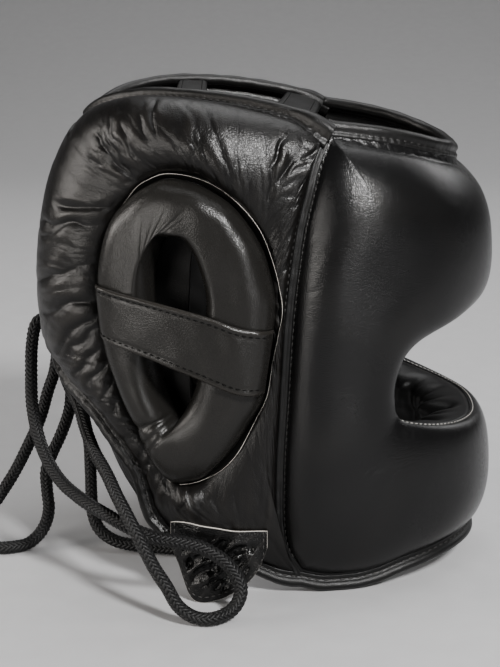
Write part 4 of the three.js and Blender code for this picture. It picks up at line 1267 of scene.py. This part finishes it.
def add_ear_strap(suffix, left):
    rows = spaced(EAR_STRAP, 121)
    theta, z, out, half, slant = (rows[:, k : k + 1] for k in range(5))
    across, height = strap_section()
    spots = (theta - slant * across, z + half * across)
    soft = 0.00025 * ripples(arc(spots[0]), spots[1], 0.018, 81 + left)
    sections = place(*spots, out + height + soft)
    # Both edges of the band get the lighter colour: partly wear, partly painted highlight.
    wear_and_sheen = 0.6 * bell((np.abs(across) - 0.95) / 0.05) * np.ones_like(soft)
    node = f"ear_strap_{suffix}"
    sewn_tube(node, "leather_edge", sections, LEATHER_PAINTED_LIGHT, mirror=left, attributes={"wear_and_sheen": wear_and_sheen})
    keep = slice(4, -6)
    lines = []
    for share in STRAP_SEAMS:
        seam = ((theta - slant * share)[keep, 0], (z + half * share)[keep, 0])
        lines.append((place(*seam, out[keep, 0] + LEATHER / 2 - STITCH_SUNK), form_normal(*seam)))
    return lines


# Rolled bindings.
def frames_along(rows):
    """At each row of an edge: its point, the form's normal and the way past the edge."""
    points = form_point(rows[:, 0], rows[:, 1])
    tangent = np.gradient(points, axis=0)
    normal = form_normal(rows[:, 0], rows[:, 1])
    return points, normal, unit(np.cross(tangent, normal))


def lobed_profile(lobes, neck, samples=15):
    """A closed section along `past`, made of round lobes (middle, radius) joined by a neck."""
    low = min(c - r for c, r in lobes)
    high = max(c + r for c, r in lobes)
    past = low + (high - low) * eased(samples)
    half = np.zeros(past.shape)
    for c, r in lobes:
        half = np.maximum(half, np.sqrt(np.clip(r**2 - (past - c) ** 2, 0, None)))
    inside = (past > low + neck) & (past < high - neck)
    half = np.where(inside, np.maximum(half, neck), half)
    return closed_row(past, past), closed_row(half, -half)


def roll_sections(rows, past, out, wave=0.0):
    """A roll along an edge: its section lies past the edge and out from the form."""
    points, normal, ahead = frames_along(rows)
    past = np.atleast_2d(past)[..., None]
    lift = (out[None, :] + wave)[..., None]
    return points[:, None] + ahead[:, None] * past + normal[:, None] * lift


def binding_wave(rows, past, out, seed, puckers):
    """Small puckers of a stitched binding, strongest on its lower part."""
    points = form_point(rows[:, 0], rows[:, 1])
    s = np.concatenate([[0], np.cumsum(np.linalg.norm(np.diff(points, axis=0), axis=1))])[:, None]
    beat = np.sin(s * 2 * np.pi / 0.0042 + 1.8 * ripples(s, 0 * s, 0.03, seed))
    low = smooth_step(0.0055, 0.003, past)[None, :]
    return np.sign(out)[None, :] * (puckers * beat * low + 0.0002 * ripples(s, past[None, :], 0.02, seed + 1))


def stitch_row(rows, past, out):
    """A line of stitches beside an edge, and the way that it faces."""
    points, normal, ahead = frames_along(rows)
    return points + ahead * past + normal * out, normal


FRONT_BINDING = whole_from_half(np.concatenate([TOP_RIM_FRONT, [(61.5, 0.2495)]]))
SIDE_BINDING = np.concatenate([[(59.8, 0.2462)], TOP_RIM_SIDE[1:]])
TOP_LOBES = ((0.0012, 0.0017), (0.0060, 0.0034))
SIDE_TOP_LOBES = ((0.0010, 0.0012), (0.0060, 0.0031))
TOP_STAND = 0.0016  # the front binding stands out over the strip below it
PIPING_LOBES = ((-0.0014, 0.0012), (0.0038, 0.0034))
PUCKERS = 0.0001
STRAP_GAP = 0.0002  # between a crown strap and the top binding
OPENING_SEAM = 0.0022  # how far the stitches of the face opening stand out
TAPE_HALF = 0.0023
TAPE_BACK = 0.0012
TAPE_SEAMS = (-0.0027, 0.0027)
# Bottom binding: radius of its roll, its flat part, the half widths of that and of its ends, and its seam.
CHIN_ROLL = 0.0034
CHIN_FLAT = (0.002, 0.009)
CHIN_FLAT_HALF = 0.0023
CHIN_ENDS = (0.0019, 0.0008)
CHIN_SEAM = (0.0026, 0.0067)  # out and up
STITCH_SUNK = 0.0001
# Stitches: pitch, length and half width.
STITCH = (0.0037, 0.0026, 0.0004)
LONG_STITCH = (0.0046, 0.0032, 0.00042)
CROWN_STITCH = (0.0038, 0.0028, 0.00036)
PALE_STITCH = (0.0032, 0.0024, 0.00034)


def add_front_top_binding():
    rows = spaced(FRONT_BINDING, 280)
    past, out = lobed_profile(TOP_LOBES, 0.0010)
    sections = roll_sections(rows, past, out, binding_wave(rows, past, out, 91, PUCKERS) + TOP_STAND)
    sewn_tube("front_top_binding", "leather_edge", sections, LEATHER_EDGE)
    return stitch_row(rows, 0.0028, TOP_STAND + 0.0011)


def add_side_top_binding(suffix, left):
    """Top binding of a side pad, which wraps over the front binding at its front end."""
    rows = spaced(SIDE_BINDING, 260)
    past, out = lobed_profile(SIDE_TOP_LOBES, 0.0010)
    wrap = smooth_step(0.13, 0.05, np.linspace(0, 1, len(rows)))[:, None]
    thicker, stand, wrap_stand = 0.7, 0.0012, 0.0010
    wider, lower = 0.55, 0.0055
    wave = binding_wave(rows, past, out, 95 + left, PUCKERS)
    wave = wave + thicker * wrap * out[None, :] + stand + wrap_stand * wrap
    wide = past[None, :] * (1 + wider * wrap) - lower * wrap
    sections = roll_sections(rows, wide, out, wave)
    # A band along the roll's crest gets the lighter colour: partly wear, partly painted highlight.
    wear_and_sheen = 0.6 * bell((past - 0.0036) / 0.0006) * (out > 0) * np.ones((len(rows), 1))
    node = f"side_top_binding_{suffix}"
    sewn_tube(node, "leather_edge", sections, LEATHER_EDGE, mirror=left, attributes={"wear_and_sheen": wear_and_sheen})
    return stitch_row(rows[30:], 0.0026, 0.0023)


def add_piping(suffix, left):
    """Stitched rolls on the rear and lower edges of a side pad."""
    rows = spaced(REAR_EDGE, 90)
    sections = roll_sections(rows, *lobed_profile(((GAP + PIPING, PIPING),), 0.0))
    sewn_tube(f"rear_piping_{suffix}", "leather_edge", sections, LEATHER_EDGE, mirror=left)
    rows = spaced(LOWER_RIM_REAR, 240)
    past, out = lobed_profile(PIPING_LOBES, 0.0009)
    step, uneven, stand, sunk, thicker = 0.0009, 0.0002, 0.0052, 0.0020, 0.35
    s = np.arange(len(rows))[:, None] * step
    stout = smooth_step(0.085, 0.06, rows[:, 1:])
    wave = np.sign(out)[None, :] * uneven * ripples(s, past[None, :], 0.008, 101 + left)
    wave = wave + stand - sunk * stout + stout * thicker * out[None, :]
    sections = roll_sections(rows, past, out, wave)
    sewn_tube(f"lower_piping_{suffix}", "leather_edge", sections, LEATHER_EDGE, mirror=left)
    return stitch_row(rows[8:], 0.0001, 0.0062)


def add_seam(suffix, left):
    """Flat taped seam between the front and the side, with its double row of stitches."""
    rows = along_form(np.concatenate([FRONT_SEAM, [(71.2, 0.0065)]]), np.linspace(0.012, 1, 270))
    across = TAPE_HALF * np.sin(np.linspace(-np.pi / 2, np.pi / 2, 15))
    edge, crown, groove, groove_half = 0.0016, 0.0008, 0.0003, 0.0006
    step, uneven = 0.00098, 0.0002
    height = edge + crown * np.sqrt(np.clip(1 - (across / TAPE_HALF) ** 4, 0, 1))
    height = height - groove * bell(across / groove_half)
    past = closed_row(across, across)
    out = closed_row(height, np.full(len(across), TAPE_BACK))
    s = np.arange(len(rows))[:, None] * step
    wave = np.where(out > TAPE_BACK, uneven, 0.0)[None, :]
    wave = wave * ripples(s, past[None, :], 0.012, 113 + left)
    sections = roll_sections(rows, past, out, wave)
    sewn_tube(f"seam_welt_{suffix}", "leather_edge", sections, LEATHER_SEAM, mirror=left)
    return [stitch_row(rows[:252], shift, 0.0032) for shift in TAPE_SEAMS]


def add_bottom_binding():
    chin = spaced(BOTTOM_RIM_FRONT, 150)
    jaw = along_form(LOWER_RIM_JAW, np.linspace(0.02, 1, 60))[::-1]
    rows = whole_from_half(np.concatenate([chin, jaw[1:]]))
    up = BOTTOM_ROLL_HEIGHT * eased(21)
    lower = np.sqrt(np.clip(CHIN_ROLL**2 - (up - CHIN_ROLL) ** 2, 0, None)) * BOTTOM_ROLL_HALF / CHIN_ROLL
    flat = (up > CHIN_FLAT[0]) & (up < CHIN_FLAT[1])
    width = np.maximum(lower, np.where(flat, CHIN_FLAT_HALF, 0))
    width[[0, -1]] = CHIN_ENDS
    lift = np.concatenate([up, up[::-1]])[None, :, None]
    out = np.concatenate([width, -width[::-1]])[None, :, None]
    base = np.maximum(rows[:, 1], REST_RIM) - REST_RIM
    points = form_point(rows[:, 0], base + BOTTOM_ROLL_HEIGHT / 2)
    points[:, 2] = base
    normal = form_normal(rows[:, 0], rows[:, 1], level=True)
    sections = points[:, None] + normal[:, None] * out + UP * lift
    sewn_tube("bottom_binding", "leather_edge", sections, LEATHER_SEAM)
    return points + normal * CHIN_SEAM[0] + UP * CHIN_SEAM[1], normal


def add_jaw_tab(suffix, left):
    """Crumpled leather tab with a stitched border and a pale cut edge."""
    columns, steps, inset = 90, 46, 4
    rows = along_form(JAW_TAB, np.concatenate([[0, 0.008], np.linspace(0.02, 0.98, columns - 4), [0.992, 1]]))
    share = np.concatenate([[0, 0.01], np.linspace(0.03, 0.97, steps - 4), [0.99, 1]])[None, :]
    z, out = between(rows[:, 1:3], rows[:, 3:5], share)
    theta = rows[:, :1] + 0 * z
    x = arc(theta)
    middle = np.sin(np.pi * share) * np.sin(np.pi * np.linspace(0, 1, columns))[:, None]
    flat = smooth_step(0.08, 0.2, np.minimum(share, 1 - share)) * smooth_step(0.3, 0.6, middle)
    slanted = x * 0.8 + z * 0.6
    crush = 0.7 - 1.6 * np.abs(ripples(slanted, 0.35 * (z - x), 0.012, 121 + left))
    crush = crush + 0.4 - 0.9 * np.abs(ripples(slanted, 0.6 * z, 0.006, 123 + left))
    fold, swell, lip = 0.0015, 0.0012, 0.0014
    upper = smooth_step(0.4, 0.0, share) * middle.max(1, keepdims=True)
    out = out + fold * crush * flat + swell * middle + lip * upper
    face = place(theta, z, out + TAB_HALF_THICK, level=True)
    back = place(theta, z, out - TAB_HALF_THICK, level=True)
    sections = two_faced(face, back)
    # Crumple ridges get the lighter colour: partly wear, partly painted sheen.
    wear_and_sheen = np.concatenate([wear_and_sheen_from(crush, 1.2), 0 * crush], axis=1)
    raw = np.zeros(sections.shape[:2])
    bare, dull = 0.8, 0.4
    raw[:, [0, -1]] = bare
    raw[:, [steps - 1, steps]] = dull
    raw[[0, -1], :] = dull
    attributes = {"wear_and_sheen": wear_and_sheen, "raw": raw, "crinkle": np.ones(raw.shape)}
    node = f"jaw_tab_{suffix}"
    piece = sewn_tube(node, "leather_soft", sections, LEATHER_TAB, mirror=left, attributes=attributes)
    spots = [(inset, k) for k in range(inset, steps - inset)]
    spots += [(i, steps - 1 - inset) for i in range(inset + 1, columns - inset - 1)]
    spots += [(columns - inset - 1, k) for k in range(steps - inset - 1, inset, -1)]
    normal = form_normal(theta, z, level=True)
    return np.array([face[spot] for spot in spots]), np.array([normal[spot] for spot in spots])


def add_crown_strap(name, y_right, y_left, width, sag):
    """Band across the crown, from one top binding to the other."""
    points, _, ahead = frames_along(spaced(TOP_RIM_SIDE, 200))
    centres = points + ahead * (TOP_ROLL + GAP)
    shift = np.linspace(-0.5, 0.5, 13)
    ends = []
    for y, sign in ((y_right, 1), (y_left, -1)):
        place_y = y + shift * width
        end = np.stack([np.interp(place_y, centres[:, 1], centres[:, k]) for k in range(3)], axis=1)
        end[:, 1] = place_y
        end[:, 0] = sign * (end[:, 0] + TOP_ROLL + STRAP_GAP)
        ends.append(end)
    share = np.linspace(0, 1, 61)
    middle = ends[0][None] + (ends[1] - ends[0])[None] * share[:, None, None]
    middle[..., 2] -= sag * np.sqrt(1 - (2 * share - 1) ** 2)[:, None]
    lift = 0.5 * LEATHER * np.clip(1 - (np.abs(shift) * 2) ** 12, 0, 1) ** 0.5
    upper = middle + UP * lift[None, :, None]
    lower = middle - UP * lift[None, :, None]
    sections = np.concatenate([upper, lower[:, -2:0:-1]], axis=1)
    sewn_tube(name, "leather_edge", sections, LEATHER_LINING)
    up = np.broadcast_to(UP, (len(share), 3))
    return [(upper[:, k] - UP * STITCH_SUNK, up) for k in (2, -3)]


def add_tongue():
    """Padded tongue behind the rear lacing."""
    u = np.linspace(0, 1, 60)[:, None]
    v = np.linspace(0, 1, 60)[None, :]
    theta = TONGUE["from"] + (TONGUE["to"] - TONGUE["from"]) * v + 0 * u
    z = TONGUE["low"] + (TONGUE["high"] - TONGUE["low"]) * u + 0 * v
    thick = LEATHER + (TONGUE["thick"] - LEATHER) * puff(u) * puff(v)
    quilt = TONGUE["quilt"] * np.abs(np.sin(np.pi * u * 6)) ** 0.5 * puff(v)
    face = place(theta, z, TONGUE["outer"] - TONGUE["quilt"] + quilt)
    back = place(theta, z, TONGUE["outer"] - thick)
    piece = sewn_tube("rear_tongue", "leather_lining", two_faced(face, back), LEATHER_LINING)


def add_stitches(name, rows, stitch, material, mirror=False):
    """Stitches of one size along rows of points, each with the way that it faces."""
    flip = np.array([-1.0 if mirror else 1.0, 1.0, 1.0])
    mesh = line_mesh(name + "_lines", [line * flip for line, _ in rows], [up * flip for _, up in rows])
    values = dict(zip(("Pitch", "Length", "Half Width"), stitch))
    values.update({"Seed": 3, "Material": material})
    settle(grown(name, mesh, STITCH_TREE, values), "leather_edge")


def add_opening_stitches(pad):
    """Pale stitches in the seam round the face opening."""
    theta, z = (value[:, 0] for value in pad.at(np.zeros((1, 1))))
    toward = form_point(*(value[:, 0] for value in pad.at(np.full((1, 1), 0.02))))
    past = unit(form_point(theta, z) - toward)
    line = place(theta, z, np.full(len(theta), OPENING_SEAM))
    up = unit(line - place(theta, z, np.zeros(len(theta))) + past)
    line = line + past * STITCH_SUNK
    rows = [(np.concatenate([line, line[:1]]), np.concatenate([up, up[:1]]))]
    add_stitches("opening_stitches", rows, PALE_STITCH, PALE_THREAD)


front = add_front()
add_front_lining()
add_opening_stitches(front)
front_rows = [add_front_top_binding(), add_bottom_binding()]
add_stitches("front_stitches", front_rows, LONG_STITCH, SEAM_THREAD)
cover_moves = side_cover_moves()
for suffix, left in (("right", False), ("left", True)):
    add_side_pad(suffix, left, cover_moves)
    add_ear_ring(suffix, left)
    strap_rows = add_ear_strap(suffix, left)
    side_rows = [add_side_top_binding(suffix, left), add_piping(suffix, left), *add_seam(suffix, left)]
    side_rows.append(add_jaw_tab(suffix, left))
    add_stitches(f"strap_stitches_{suffix}", strap_rows, STITCH, THREAD, mirror=left)
    add_stitches(f"side_stitches_{suffix}", side_rows, STITCH, SEAM_THREAD, mirror=left)
crown_rows = add_crown_strap("crown_strap_front", -0.012, -0.018, 0.022, 0.001)
crown_rows += add_crown_strap("crown_strap_rear", 0.042, 0.048, 0.017, 0.0)
add_stitches("crown_stitches", crown_rows, CROWN_STITCH, THREAD)
add_tongue()


# Floor and light.
def add_floor():
    """Pale floor that sweeps up far behind the headgear."""
    start, radius, reach, top = 1.6, 2.6, 6.0, 3.6
    turn = np.linspace(0, np.pi / 2, 33)
    x = np.concatenate([[-reach], start + radius * np.sin(turn), [start + radius]])
    z = np.concatenate([[0.0], radius * (1 - np.cos(turn)), [top]])
    points = [(a, y, b) for a, b in zip(x, z) for y in (-reach, reach)]
    mesh = bpy.data.meshes.new("floor")
    mesh.from_pydata(points, [], [(2 * k, 2 * k + 2, 2 * k + 3, 2 * k + 1) for k in range(len(x) - 1)])
    mesh.shade_smooth()
    mesh.materials.append(floor_material())
    linked("floor", mesh)


def add_light(name, spot, target, size, power, colour):
    data = bpy.data.lights.new(name, "AREA")
    data.shape = "RECTANGLE"
    data.size, data.size_y = size
    data.energy = power
    data.color = colour
    aim(linked(name, data), spot, target)


SKY_COLOUR = (0.8, 0.82, 0.85, 1.0)
SKY_STRENGTH = 0.035


def add_world():
    world = bpy.data.worlds.new("studio")
    world.use_nodes = True
    world.node_tree.nodes.clear()
    net = Net(world.node_tree)
    sky = net.node("ShaderNodeBackground", inputs={"Color": SKY_COLOUR, "Strength": SKY_STRENGTH})
    net.node("ShaderNodeOutputWorld", inputs={"Surface": sky})
    bpy.context.scene.world = world


add_floor()
add_world()
# Softboxes: place, target, size, power in watts and colour.
WHITE = (1.0, 1.0, 1.0)
SOFT_WHITE = (1.0, 0.99, 0.98)
add_light("front_softbox", (-1.5, -0.92, 1.55), (0, 0, 0.15), (0.3, 0.42), 110.0, SOFT_WHITE)
add_light("low_softbox", (-1.7, -1.0, 0.5), (0, 0, 0.15), (0.25, 0.8), 9.0, SOFT_WHITE)
add_light("rear_softbox", (-0.15, 1.75, 0.75), (0, 0.05, 0.15), (0.7, 0.65), 26.0, (1.0, 0.95, 0.9))
add_light("left_softbox", (-1.35, 1.2, 0.45), (0, 0, 0.12), (0.9, 0.6), 22.0, (1.0, 0.96, 0.91))
add_light("right_softbox", (1.15, -1.45, 1.25), (0, 0, 0.15), (1.0, 0.8), 12.0, WHITE)
add_light("top_softbox", (0.7, -0.2, 2.0), (0.2, 0, 0.1), (1.8, 1.5), 34.0, WHITE)
